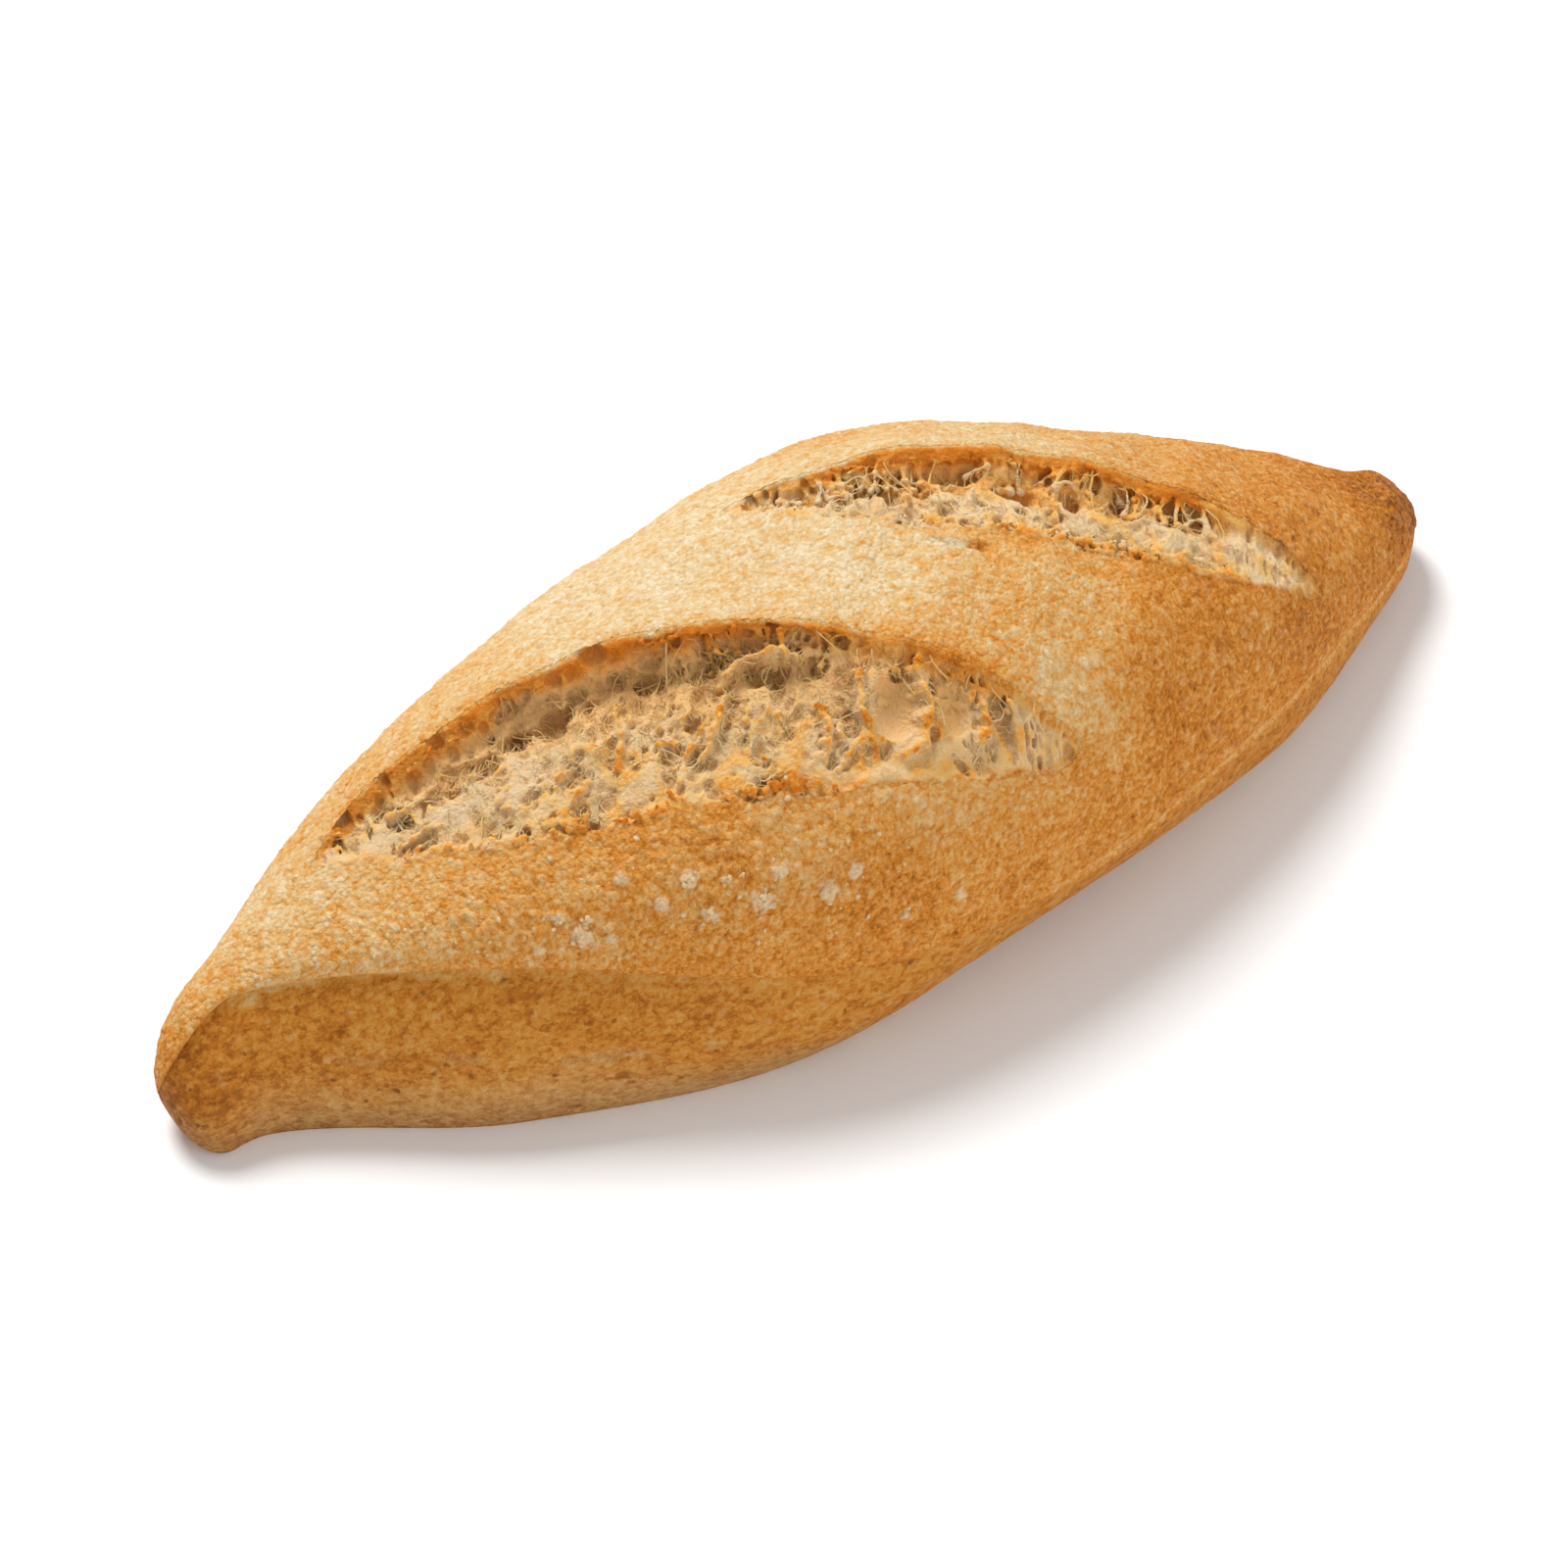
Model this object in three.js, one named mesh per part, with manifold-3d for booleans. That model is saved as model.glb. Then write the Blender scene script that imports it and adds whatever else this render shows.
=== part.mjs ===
// A spindle-shaped whole wheat bread roll: one baked piece with drawn-out tips, a flat base and two
// oblique slashes that opened in the oven and show the torn crumb. Millimetres, +Z up, the long axis
// along X, the origin under the middle of the roll on the surface that it rests on.
import * as THREE from "three";
import { mergeVertices } from "three/addons/utils/BufferGeometryUtils.js";
import Module from "manifold-3d";

// Driving sizes of the loaf.
const LENGTH = 190;
const TIP_START = 0.93; // share of the half length where the round nose begins
const TOP_ROUNDNESS = 2.25; // superellipse power of the top's section: 2 is an ellipse
const SIDE_BULGE = 0.16; // swell of the side over its height
const SEAM_LEDGE = 0.9; // the top crust overhangs the bare side by this much
const SEAM_LIMIT = 0.97; // highest the seam comes, over the crest's height

// Profiles along the roll. Stations are shares of the half length, from the -X tip to the +X tip.
// The front is -Y and the back +Y, and half widths are taken from the roll's axis. Each slash lets
// the dough out beside it, so the front swells left of the middle and the back right of it.
const STATIONS = [-1, -0.88, -0.6, -0.2, 0.2, 0.6, 0.88, 1];
const AXIS_BEND = [-5.2, -2.8, 0, 0, 0, 0, 3.1, 7];
const CREST_HEIGHT = [14.5, 20.6, 32, 45, 46, 32, 17.3, 11.8];
const FRONT_HALF_WIDTH = [2.2, 3.2, 20.3, 36.4, 34, 21.3, 8.6, 4.6];
const BACK_HALF_WIDTH = [5, 8.4, 20.8, 31.6, 36.6, 20.6, 5.8, 3.6];

// The seam where the floured top meets the bare side, and the edge of the flat base. The values are
// the front's; the back has them the other way round, as the roll looks the same turned about.
const SEAM_HEIGHT = [15, 19.6, 22.8, 16.7, 12.2, 11.7, 7.2, 7];
const FOOT_HALF_WIDTH = [8.2, 9, 25.2, 33.3, 21, 16.4, 4.5, 1.5];

// Unevenness of the dough: slow waves over the crust.
const WAVE_HEIGHT = 0.45;
const WAVE_LENGTHS = [31, 23, 17];
const WAVE_PHASES = [1.3, 0.4];

// Grid of the loaf's surface: rings along it, and steps round each ring.
const RINGS = 88;
const TIP_CROWDING = 0.55; // how far the rings crowd towards the tips
const BASE_STEPS = 2; // on each half of the base
const SIDE_STEPS = 5;
const TOP_STEPS = 32;
const RING_STEPS = 2 * (BASE_STEPS + SIDE_STEPS) + TOP_STEPS;

// The slashes. Start and end are plan points, and a lip is an opening from the line between them,
// shaped as share^rise * (1 - share)^fall with its largest value given. Cells are large gas bubbles
// of the crumb: share along the slash, share across it from the front lip to the back lip, radius.
const SLASHES = [
  {
    start: [-69, 2.3],
    end: [19, -29.8],
    backLip: { opening: 12.1, rise: 0.74, fall: 1.31 },
    frontLip: { opening: 9.4, rise: 0.77, fall: 0.67 },
    depth: 9,
    ear: 2.6,
    seed: 11,
    cells: [
      [0.69, 0.55, 6.2],
      [0.8, 0.5, 4.6],
      [0.56, 0.8, 4.8],
      [0.46, 0.82, 4.6],
      [0.33, 0.85, 4.4],
      [0.22, 0.75, 3.8],
      [0.12, 0.6, 3.2],
      [0.5, 0.4, 3.4],
      [0.38, 0.3, 3.2],
    ],
  },
  {
    start: [-4.8, 15.1],
    end: [66, -13.5],
    backLip: { opening: 6.4, rise: 1.03, fall: 1.08 },
    frontLip: { opening: 9.2, rise: 0.76, fall: 0.68 },
    depth: 9.5,
    ear: 2,
    seed: 23,
    cells: [
      [0.22, 0.7, 4.2],
      [0.33, 0.6, 3.6],
      [0.44, 0.65, 5.4],
      [0.56, 0.6, 4.6],
      [0.66, 0.75, 3.8],
      [0.78, 0.6, 4],
    ],
  },
];
const EAR_REACH = 7; // how far the raised lip runs back over the crust
const EAR_FADE = 0.7; // power of its fading towards the slash's ends
const UNDERCUT = 2.5; // how far the opening runs back under the raised lip
const BED_HOLLOW = 1.5; // power of the crumb bed's fall from the front lip to the back lip
const FRONT_STEP = 1.2; // the crumb starts this far below the front lip
const END_FADE = 0.6; // power of the opening's fading towards the slash's ends
const CUT_CLEARANCE = 6; // the cutting solid stands this far over the crust
const CLEARANCE_RISE = 3; // how much sooner than the depth it reaches that
const CELL_DEPTH = 0.75; // depth of a cell's hollow over its radius
const SMALL_CELLS = 60; // further, smaller cells of each slash, placed by a seeded draw
const SMALL_CELL_RADIUS = [1.8, 3];
const CELL_MARGIN = 0.15; // share of the hollows that is left at the front lip
const CUT_RINGS = 46;
const BED_STEPS = 10;
const WALL_STEPS = 2;
const COVER_STEPS = 2;
const CUT_STEPS = BED_STEPS + 2 * WALL_STEPS + COVER_STEPS;

const SAME_POINT = 1e-4; // grid points nearer than this are one
const NORMAL_REACH = 0.5; // distance over which the crust's slope is taken
const OUTLINE_LIMIT = 0.985; // largest share of the half width at which the crust's height is asked for
const CRUST_COLOUR = 0xd09a58;
const CRUST_ROUGHNESS = 0.75;

// A smooth curve through (station, value) points, with the slope at each taken from its neighbours.
function curveThrough(stations, values, at) {
  const last = stations.length - 1;
  const slope = (i) => {
    const a = Math.max(i - 1, 0);
    const b = Math.min(i + 1, last);
    return (values[b] - values[a]) / (stations[b] - stations[a]);
  };
  let i = 0;
  while (i < last - 1 && at > stations[i + 1]) i += 1;
  const span = stations[i + 1] - stations[i];
  const t = (at - stations[i]) / span;
  const start = (1 + 2 * t) * (1 - t) ** 2 * values[i] + t * (1 - t) ** 2 * span * slope(i);
  const end = t * t * (3 - 2 * t) * values[i + 1] + t * t * (t - 1) * span * slope(i + 1);
  return start + end;
}

// The loaf's measures at a share of its half length.
function sectionAt(share) {
  const nose = THREE.MathUtils.clamp((Math.abs(share) - TIP_START) / (1 - TIP_START), 0, 1);
  const crest = curveThrough(STATIONS, CREST_HEIGHT, share);
  const seam = (at) => Math.min(curveThrough(STATIONS, SEAM_HEIGHT, at), SEAM_LIMIT * crest);
  return {
    x: (share * LENGTH) / 2,
    closing: Math.sqrt(1 - nose * nose),
    axis: curveThrough(STATIONS, AXIS_BEND, share),
    crest,
    front: curveThrough(STATIONS, FRONT_HALF_WIDTH, share),
    back: curveThrough(STATIONS, BACK_HALF_WIDTH, share),
    frontSeam: seam(share),
    backSeam: seam(-share),
    frontFoot: curveThrough(STATIONS, FOOT_HALF_WIDTH, share),
    backFoot: curveThrough(STATIONS, FOOT_HALF_WIDTH, -share),
  };
}

// A point of a section, drawn in towards its middle where the nose closes.
function sectionPoint(section, sideways, height) {
  const middle = section.crest / 2;
  const y = section.axis + sideways * section.closing;
  return new THREE.Vector3(section.x, y, middle + (height - middle) * section.closing);
}

// Slow waves of the crust, as a height at a plan point.
function waves(x, y) {
  const [a, b, c] = WAVE_LENGTHS.map((length) => (2 * Math.PI) / length);
  const [first, second] = WAVE_PHASES;
  return (WAVE_HEIGHT / 2) * (Math.sin(a * x + first) * Math.cos(b * y) + Math.sin(c * (x - y) + second));
}

// A lip's opening at a share of the slash, largest where its two powers balance.
function lipOpening(lip, share) {
  const peak = lip.rise / (lip.rise + lip.fall);
  const shape = (s) => s ** lip.rise * (1 - s) ** lip.fall;
  return (lip.opening * shape(THREE.MathUtils.clamp(share, 0, 1))) / shape(peak);
}

// A slash's line, as its start, direction, sideways direction towards the back, and length.
function slashLine({ start, end }) {
  const from = new THREE.Vector2(...start);
  const along = new THREE.Vector2(...end).sub(from);
  const length = along.length();
  along.normalize();
  return { from, along, side: new THREE.Vector2(-along.y, along.x), length };
}

// How far a slash's raised lip lifts the crust at a plan point.
function earLift(slash, x, y) {
  const { from, along, side, length } = slashLine(slash);
  const offset = new THREE.Vector2(x, y).sub(from);
  const share = offset.dot(along) / length;
  if (share <= 0 || share >= 1) return 0;
  const beyond = offset.dot(side) - lipOpening(slash.backLip, share);
  const fade = Math.sin(Math.PI * share) ** EAR_FADE;
  return slash.ear * fade * Math.exp(-((beyond / EAR_REACH) ** 2));
}

// A point of the top crust, at a share of the half width from -1 at the front to 1 at the back.
function topPoint(section, across) {
  const [half, seam] = across > 0 ? [section.back, section.backSeam] : [section.front, section.frontSeam];
  const dome = (1 - Math.abs(across) ** TOP_ROUNDNESS) ** (1 / TOP_ROUNDNESS);
  const y = section.axis + across * half * section.closing;
  const ears = SLASHES.reduce((sum, slash) => sum + earLift(slash, section.x, y), 0);
  const rise = section.crest - seam + waves(section.x, y) + ears;
  return sectionPoint(section, across * half, seam + rise * dome);
}

// A point of the bare side, with down running from 0 at the seam to 1 at the base.
function sidePoint(section, down, sign) {
  const back = sign > 0;
  const half = back ? section.back : section.front;
  const height = back ? section.backSeam : section.frontSeam;
  const seam = new THREE.Vector2(half - SEAM_LEDGE, height - SEAM_LEDGE);
  const foot = new THREE.Vector2(back ? section.backFoot : section.frontFoot, 0);
  const swell = SIDE_BULGE * 4 * down * (1 - down);
  const place = new THREE.Vector2().lerpVectors(seam, foot, down);
  place.x += swell * (seam.y - foot.y);
  place.y += swell * (foot.x - seam.x);
  return sectionPoint(section, sign * place.x, Math.max(place.y, 0));
}

// A point of the closed ring at a step: base, back side, top, front side and base again.
function ringPoint(section, step) {
  const half = RING_STEPS / 2;
  const sign = step <= half ? 1 : -1;
  const fromBase = step <= half ? step : RING_STEPS - step;
  if (fromBase < BASE_STEPS) {
    const foot = sidePoint(section, 1, sign);
    return sectionPoint(section, 0, 0).lerp(foot, fromBase / BASE_STEPS);
  }
  if (fromBase < BASE_STEPS + SIDE_STEPS) {
    return sidePoint(section, 1 - (fromBase - BASE_STEPS) / (SIDE_STEPS - 1), sign);
  }
  const angle = ((fromBase - BASE_STEPS - SIDE_STEPS) / (TOP_STEPS / 2)) * (Math.PI / 2);
  return topPoint(section, sign * Math.cos(angle) ** (2 / TOP_ROUNDNESS));
}

// A sphere's grid with each vertex moved by place(share along, share round), so that the poles close.
function wrappedGrid(steps, rings, place) {
  const grid = new THREE.SphereGeometry(1, steps, rings);
  const { position } = grid.attributes;
  for (let i = 0; i < position.count; i += 1) {
    const ring = Math.floor(i / (steps + 1));
    const step = i % (steps + 1);
    const point = place(1 - ring / rings, (step % steps) / steps);
    position.setXYZ(i, point.x, point.y, point.z);
  }
  grid.deleteAttribute("normal");
  grid.deleteAttribute("uv");
  return mergeVertices(grid, SAME_POINT);
}

function loafGeometry() {
  return wrappedGrid(RING_STEPS, RINGS, (along, round) => {
    const even = 2 * along - 1;
    const share = (1 - TIP_CROWDING) * even + TIP_CROWDING * Math.sin((Math.PI / 2) * even);
    return ringPoint(sectionAt(share), Math.round(round * RING_STEPS));
  });
}

// The top crust's height at a plan point, held within the loaf's outline.
function crustPoint(x, y) {
  const section = sectionAt(THREE.MathUtils.clamp((2 * x) / LENGTH, -1, 1));
  const across = (y - section.axis) / (y > section.axis ? section.back : section.front);
  return topPoint(section, THREE.MathUtils.clamp(across, -OUTLINE_LIMIT, OUTLINE_LIMIT));
}

// The top crust's outward direction at a plan point.
function crustNormal(x, y) {
  const alongX = crustPoint(x + NORMAL_REACH, y).sub(crustPoint(x - NORMAL_REACH, y));
  const alongY = crustPoint(x, y + NORMAL_REACH).sub(crustPoint(x, y - NORMAL_REACH));
  return alongX.cross(alongY).normalize();
}

// A seeded stream of numbers from 0 to 1.
function seededDraw(seed) {
  let state = seed;
  return () => {
    state = (Math.imul(state, 1664525) + 1013904223) >>> 0;
    return state / 2 ** 32;
  };
}

// All cells of a slash: the large ones it names and smaller ones drawn over its bed.
function slashCells(slash) {
  const draw = seededDraw(slash.seed);
  const [least, most] = SMALL_CELL_RADIUS;
  const cell = () => [draw(), draw(), least + (most - least) * draw()];
  const small = Array.from({ length: SMALL_CELLS }, cell);
  return [...slash.cells, ...small];
}

// The cutting solid of a slash: a lens over the crust whose underside is the torn crumb bed.
function slashGeometry(slash) {
  const { from, along, side, length } = slashLine(slash);
  const cells = slashCells(slash);

  const plan = (share, offset) => [
    from.x + along.x * share * length + side.x * offset,
    from.y + along.y * share * length + side.y * offset,
  ];
  const lips = (share) => [-lipOpening(slash.frontLip, share), lipOpening(slash.backLip, share)];

  // Hollows of the cells near a point of the bed.
  const hollow = (share, across, width) =>
    cells.reduce((deepest, [cellShare, cellAcross, radius]) => {
      const apart = Math.hypot((share - cellShare) * length, (across - cellAcross) * width);
      if (apart >= radius) return deepest;
      return Math.max(deepest, CELL_DEPTH * Math.sqrt(radius * radius - apart * apart));
    }, 0);

  const pointAt = (share, offset, over) => {
    const [x, y] = plan(share, offset);
    return crustPoint(x, y).addScaledVector(crustNormal(x, y), over);
  };

  return wrappedGrid(CUT_STEPS, CUT_RINGS, (alongShare, round) => {
    const share = 0.5 - 0.5 * Math.cos(Math.PI * alongShare);
    const [front, back] = lips(share);
    const width = back - front;
    const fade = Math.sin(Math.PI * share) ** END_FADE;
    const clearance = CUT_CLEARANCE * Math.min(1, CLEARANCE_RISE * fade);
    const step = Math.round(round * CUT_STEPS);
    const bedEnd = BED_STEPS + WALL_STEPS;
    const coverEnd = bedEnd + WALL_STEPS;
    const undercut = UNDERCUT * fade;
    const bedDepth = (across) => {
      const fall = FRONT_STEP + (slash.depth - FRONT_STEP) * across ** BED_HOLLOW;
      const margin = Math.sqrt(Math.sin(Math.PI * Math.min(across + CELL_MARGIN, 1)));
      return fade * (fall + hollow(share, across, width) * margin);
    };
    if (step <= WALL_STEPS) {
      const rise = 1 - step / WALL_STEPS;
      return pointAt(share, front, rise * clearance - (1 - rise) * bedDepth(0));
    }
    if (step < bedEnd) {
      const across = (step - WALL_STEPS) / BED_STEPS;
      return pointAt(share, front + across * (width + undercut), -bedDepth(across));
    }
    if (step <= coverEnd) {
      const rise = (step - bedEnd) / WALL_STEPS;
      const offset = back + undercut * (1 - rise);
      return pointAt(share, offset, rise * clearance - (1 - rise) * bedDepth(1));
    }
    const across = 1 - (step - coverEnd) / COVER_STEPS;
    return pointAt(share, front + across * width, clearance);
  });
}

const wasm = await Module();
wasm.setup();

function solidOf(geometry) {
  return new wasm.Manifold(
    new wasm.Mesh({
      numProp: 3,
      vertProperties: geometry.attributes.position.array,
      triVerts: new Uint32Array(geometry.index.array),
    }),
  );
}

function geometryOf(solid) {
  const { vertProperties, triVerts } = solid.getMesh();
  const geometry = new THREE.BufferGeometry();
  geometry.setAttribute("position", new THREE.BufferAttribute(vertProperties, 3));
  geometry.setIndex(new THREE.BufferAttribute(triVerts, 1));
  geometry.computeVertexNormals();
  return geometry;
}

// The loaf with its slashes cut, moved so that the origin is under the middle of its box.
function breadRoll() {
  const openings = SLASHES.map((slash) => solidOf(slashGeometry(slash)));
  const cut = openings.reduce((loaf, opening) => loaf.subtract(opening), solidOf(loafGeometry()));
  const geometry = geometryOf(cut);
  geometry.computeBoundingBox();
  const { min, max } = geometry.boundingBox;
  geometry.translate(-(min.x + max.x) / 2, -(min.y + max.y) / 2, -min.z);
  const finish = { color: CRUST_COLOUR, roughness: CRUST_ROUGHNESS, metalness: 0 };
  const mesh = new THREE.Mesh(geometry, new THREE.MeshStandardMaterial(finish));
  mesh.name = "bread_roll";
  return mesh;
}

const roll = new THREE.Group();
roll.add(breadRoll());

export default roll;
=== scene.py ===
"""Looks of a whole wheat bread roll: floured crust, bare side, two slashes with torn crumb, fibres and flour.

The loaf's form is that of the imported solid, from the same sizes. Working lengths are millimetres.
"""
import math

import bpy
import numpy as np
from mathutils import Matrix, Vector


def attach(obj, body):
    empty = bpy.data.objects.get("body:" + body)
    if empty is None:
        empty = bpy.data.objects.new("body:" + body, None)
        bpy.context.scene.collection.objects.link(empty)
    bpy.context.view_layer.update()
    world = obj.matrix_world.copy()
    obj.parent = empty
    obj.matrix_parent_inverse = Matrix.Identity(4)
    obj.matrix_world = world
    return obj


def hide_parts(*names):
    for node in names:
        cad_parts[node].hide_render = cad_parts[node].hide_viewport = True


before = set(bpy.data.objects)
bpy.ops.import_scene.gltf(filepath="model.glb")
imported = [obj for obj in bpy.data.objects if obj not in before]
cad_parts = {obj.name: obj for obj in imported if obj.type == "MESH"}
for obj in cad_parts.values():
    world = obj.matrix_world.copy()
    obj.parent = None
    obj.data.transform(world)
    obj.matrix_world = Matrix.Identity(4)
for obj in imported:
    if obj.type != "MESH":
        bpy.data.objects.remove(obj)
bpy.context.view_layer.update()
MM = 0.001

# The loaf's sizes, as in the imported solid.
LENGTH = 190.0
TIP_START = 0.93
ROUNDNESS = 2.25
SIDE_BULGE = 0.16
SEAM_LEDGE = (0.35, 0.6)
SEAM_LIMIT = 0.97
STATIONS = np.array([-1, -0.88, -0.6, -0.2, 0.2, 0.6, 0.88, 1])
AXIS_BEND = [-5.2, -2.8, 0, 0, 0, 0, 3.1, 7]
CREST_HEIGHT = [14.5, 20.6, 32, 45, 46, 32, 17.3, 11.8]
FRONT_HALF_WIDTH = [2.2, 3.2, 20.3, 36.4, 34, 21.3, 8.6, 4.6]
BACK_HALF_WIDTH = [5, 8.4, 20.8, 31.6, 36.6, 20.6, 5.8, 3.6]
SEAM_HEIGHT = [15, 19.6, 22.8, 16.7, 12.2, 11.7, 7.2, 7]
FOOT_HALF_WIDTH = [8.2, 9, 25.2, 33.3, 21, 16.4, 4.5, 1.5]
WAVE_HEIGHT = 0.45
WAVE_LENGTHS = [31, 23, 17]
WAVE_PHASES = [1.3, 0.4]
EAR_REACH = 7.0
EAR_FADE = 0.7
OUTLINE_LIMIT = 0.985

# The slashes. Shares along go from a slash's start to its end, shares across from its front to its back lip.
# Pairs are a share along and a value there. Ranges are two shares along and a count.
# start, end, ear, seed: plan points of the line, height of the raised back lip, and seed of random draws.
# back, front: each lip's opening, rise and fall.
# recess_place, recess_depth, bed_scale: share across and depth of the bed's recess, and the bed's scale.
# cells: a share along, a share across, three half sizes and the middle's height over the crumb bed.
# ridges, knobs: a thickness and points of share along, share across and height; and the count of small ones.
# pockets: distance in front of the back lip, depth, size, stretch along it and the share where they end.
# strands, webs: counts of thick and thin strands in the strand_range. web_radius is that of the thin ones.
# crags, slots, flakes: ranges of crumbs on the front lip, of narrow slots and of flakes under the back lip.
# fibres, fuzz, fibre_radius: counts of fibres from wall to wall and of free ends, and their radii.
# lean: how far the back wall comes forward with depth.
# toasted, toast_depth: browning of the torn face and how deep it reaches. golden: browning of the bed.
# shaded: how far hollows take painted warm shade. recess_toast_and_shade: browning of the recess,
# partly toast and partly painted warm shade. strand_pale_and_lit: paling of thin crumb, partly painted
# light on strands in the lip's shade; below 0 it browns thin crumb instead.
# lip_strength, lip_band: browning of the crust at the lips and how far it reaches.
LONG_SLASH = {
    "name": "slash_long", "start": (-69, 2.3), "end": (19, -29.8), "ear": 2.6, "seed": 5,
    "back": (12.1, 0.74, 1.31), "front": (9.4, 0.77, 0.67),
    "recess_place": [(0, 0.82), (0.35, 0.82), (0.5, 0.78), (0.7, 0.72), (1, 0.7)],
    "recess_depth": [(0, 1.8), (0.2, 2.4), (0.35, 2.8), (0.56, 2.9), (0.66, 1.4), (0.74, 0.5), (1, 0.3)],
    "cells": [
        (0.755, 0.52, 3.3, 4.4, 3.2, 0.6), (0.835, 0.58, 2.2, 3.6, 2.5, 0.5),
        (0.765, 0.77, 1.1, 1.0, 2.0, -0.4),
        (0.60, 0.75, 2.6, 1.7, 2.0, 0.5), (0.655, 0.74, 2.3, 1.8, 2.0, 0.5), (0.9, 0.6, 1.2, 2.4, 1.8, 0.3),
        (0.69, 0.42, 1.7, 2.4, 1.8, 0.4), (0.085, 0.75, 1.5, 1.2, 1.6, 0), (0.13, 0.55, 1.0, 0.9, 1.2, 0),
        (0.045, 0.55, 0.9, 0.7, 1.2, 0), (0.46, 0.28, 1.7, 1.4, 1.2, 0.3), (0.57, 0.22, 1.5, 1.2, 1.1, 0.3),
        (0.615, 0.4, 1.6, 1.7, 1.4, 0.3), (0.49, 0.5, 1.2, 1.4, 1.2, 0.2), (0.28, 0.3, 1.1, 0.9, 1, 0.2),
        (0.985, 0.35, 0.7, 1.3, 1.4, 0),
    ],
    "ridges": [
        (0.45, [(0.412, 0.6, 0.6), (0.4, 0.46, 1.0), (0.39, 0.3, 0.4)]),
        (0.4, [(0.54, 0.62, 0.7), (0.522, 0.46, 1.6), (0.5, 0.26, 0.3)]),
        (0.45, [(0.53, 0.68, 0.4), (0.56, 0.8, 2.0), (0.61, 0.87, 2.6), (0.635, 0.8, 1.2)]),
        (0.45, [(0.655, 0.52, 0.5), (0.665, 0.36, 1.1), (0.652, 0.18, 0.2)]),
        (0.4, [(0.79, 0.82, 0.5), (0.8, 0.55, 1.4), (0.787, 0.3, 1.0), (0.755, 0.13, 0.3)]),
        (0.36, [(0.868, 0.8, 0.4), (0.876, 0.52, 0.9), (0.855, 0.26, 0.4)]),
        (0.4, [(0.715, 0.75, 0.4), (0.708, 0.5, 0.9), (0.72, 0.28, 0.4)]),
    ],
    "strands": 16, "strand_range": (0.45, 0.95), "crags": (0.1, 0.66, 64), "lean": 0.75,
    "slots": [(0.82, 0.985, 60), (0.01, 0.1, 16)], "fibres": 800, "fuzz": 4200, "fibre_radius": (0.04, 0.09),
    "webs": 10, "web_radius": (0.06, 0.11), "knobs": 24, "flakes": (0.02, 0.7, 36),
    "bed_scale": [(0, 0.5), (0.08, 1), (0.84, 1), (0.94, 0.55), (1, 0.35)],
    "lip_strength": [(0, 0.6), (0.08, 1), (0.88, 1), (0.96, 0.35), (1, 0.1)],
    "pockets": [(1.3, 1.5, 1.15, 1.4, 0.7), (3.1, 3.0, 1.4, 1.3, 0.64), (4.9, 4.2, 1.3, 1.2, 0.6)],
    "toasted": [(0, 0.9), (0.55, 1.0), (0.7, 0.6), (1, 0.4)], "toast_depth": 4.2,
    "shaded": 0.9, "recess_toast_and_shade": 0.0, "strand_pale_and_lit": -0.16,
    "golden": [(0, 0.3), (0.3, 0.5), (0.42, 1), (0.8, 1), (0.9, 0.7), (1, 0.5)],
    "lip_band": [(0, 0.6), (0.5, 0.6), (0.65, 2.1), (0.9, 2.2), (1, 1.2)],
}
SHORT_SLASH = {
    "name": "slash_short", "start": (-4.8, 15.1), "end": (66, -13.5), "ear": 2.0, "seed": 9,
    "back": (6.4, 1.03, 1.08), "front": (9.2, 0.76, 0.68),
    "recess_place": [(0, 0.74), (0.3, 0.74), (0.6, 0.76), (0.8, 0.8), (1, 0.8)],
    "recess_depth": [(0, 1.0), (0.2, 1.5), (0.6, 1.7), (0.8, 1.0), (1, 0.5)],
    "cells": [
        (0.23, 0.72, 2.4, 1.7, 2.0, 0), (0.31, 0.78, 1.6, 1.4, 1.8, 0), (0.49, 0.68, 2.8, 2.2, 2.6, 0),
        (0.585, 0.66, 1.9, 1.7, 2.2, 0), (0.37, 0.85, 1.4, 1.3, 1.8, 0),
        (0.68, 0.82, 1.7, 1.5, 1.8, 0), (0.77, 0.8, 1.3, 1.3, 1.6, 0), (0.13, 0.6, 1.0, 0.9, 1.2, 0),
    ],
    "ridges": [
        (0.3, [(0.4, 0.3, 0.1), (0.395, 0.42, 0.4), (0.405, 0.55, 0.3)]),
        (0.3, [(0.54, 0.3, 0.1), (0.535, 0.45, 0.5), (0.53, 0.6, 0.4)]),
    ],
    "strands": 46, "strand_range": (0.05, 0.84), "crags": (0.26, 0.84, 90), "lean": 1.0,
    "slots": [(0.8, 0.985, 60), (0.02, 0.12, 14)], "fibres": 220, "fuzz": 1000, "fibre_radius": (0.04, 0.1),
    "webs": 12, "web_radius": (0.07, 0.14), "knobs": 9, "flakes": (0.1, 0.8, 24),
    "bed_scale": [(0, 0.6), (0.08, 1), (0.76, 1), (0.88, 0.5), (1, 0.3)],
    "lip_strength": [(0, 0.5), (0.12, 1), (0.76, 1), (0.86, 0.3), (1, 0.05)],
    "pockets": [(2.2, 1.5, 1.45, 1.0, 0.8), (4.7, 2.3, 1.3, 1.05, 0.76)],
    "toasted": [(0, 0.7), (0.2, 0.95), (0.75, 0.95), (0.85, 0.4), (1, 0.2)], "toast_depth": 3.0,
    "shaded": 0.4, "recess_toast_and_shade": 0.5, "strand_pale_and_lit": 0.2,
    "golden": [(0, 0.3), (0.3, 0.7), (0.7, 0.9), (0.85, 0.7), (1, 0.4)],
    "lip_band": [(0, 0.7), (1, 0.7)],
}
SLASHES = [LONG_SLASH, SHORT_SLASH]

# Meshes: spacing of points on the top and side, their share on the base, the crumb's voxels, and how far
# outside a slash's opening the top ends under the crumb's piece.
TOP_SPACING = 0.36
SIDE_SPACING = 0.45
BASE_SHARE = 0.35
VOXEL = 0.26
HANDOVER = 1.0

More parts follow.
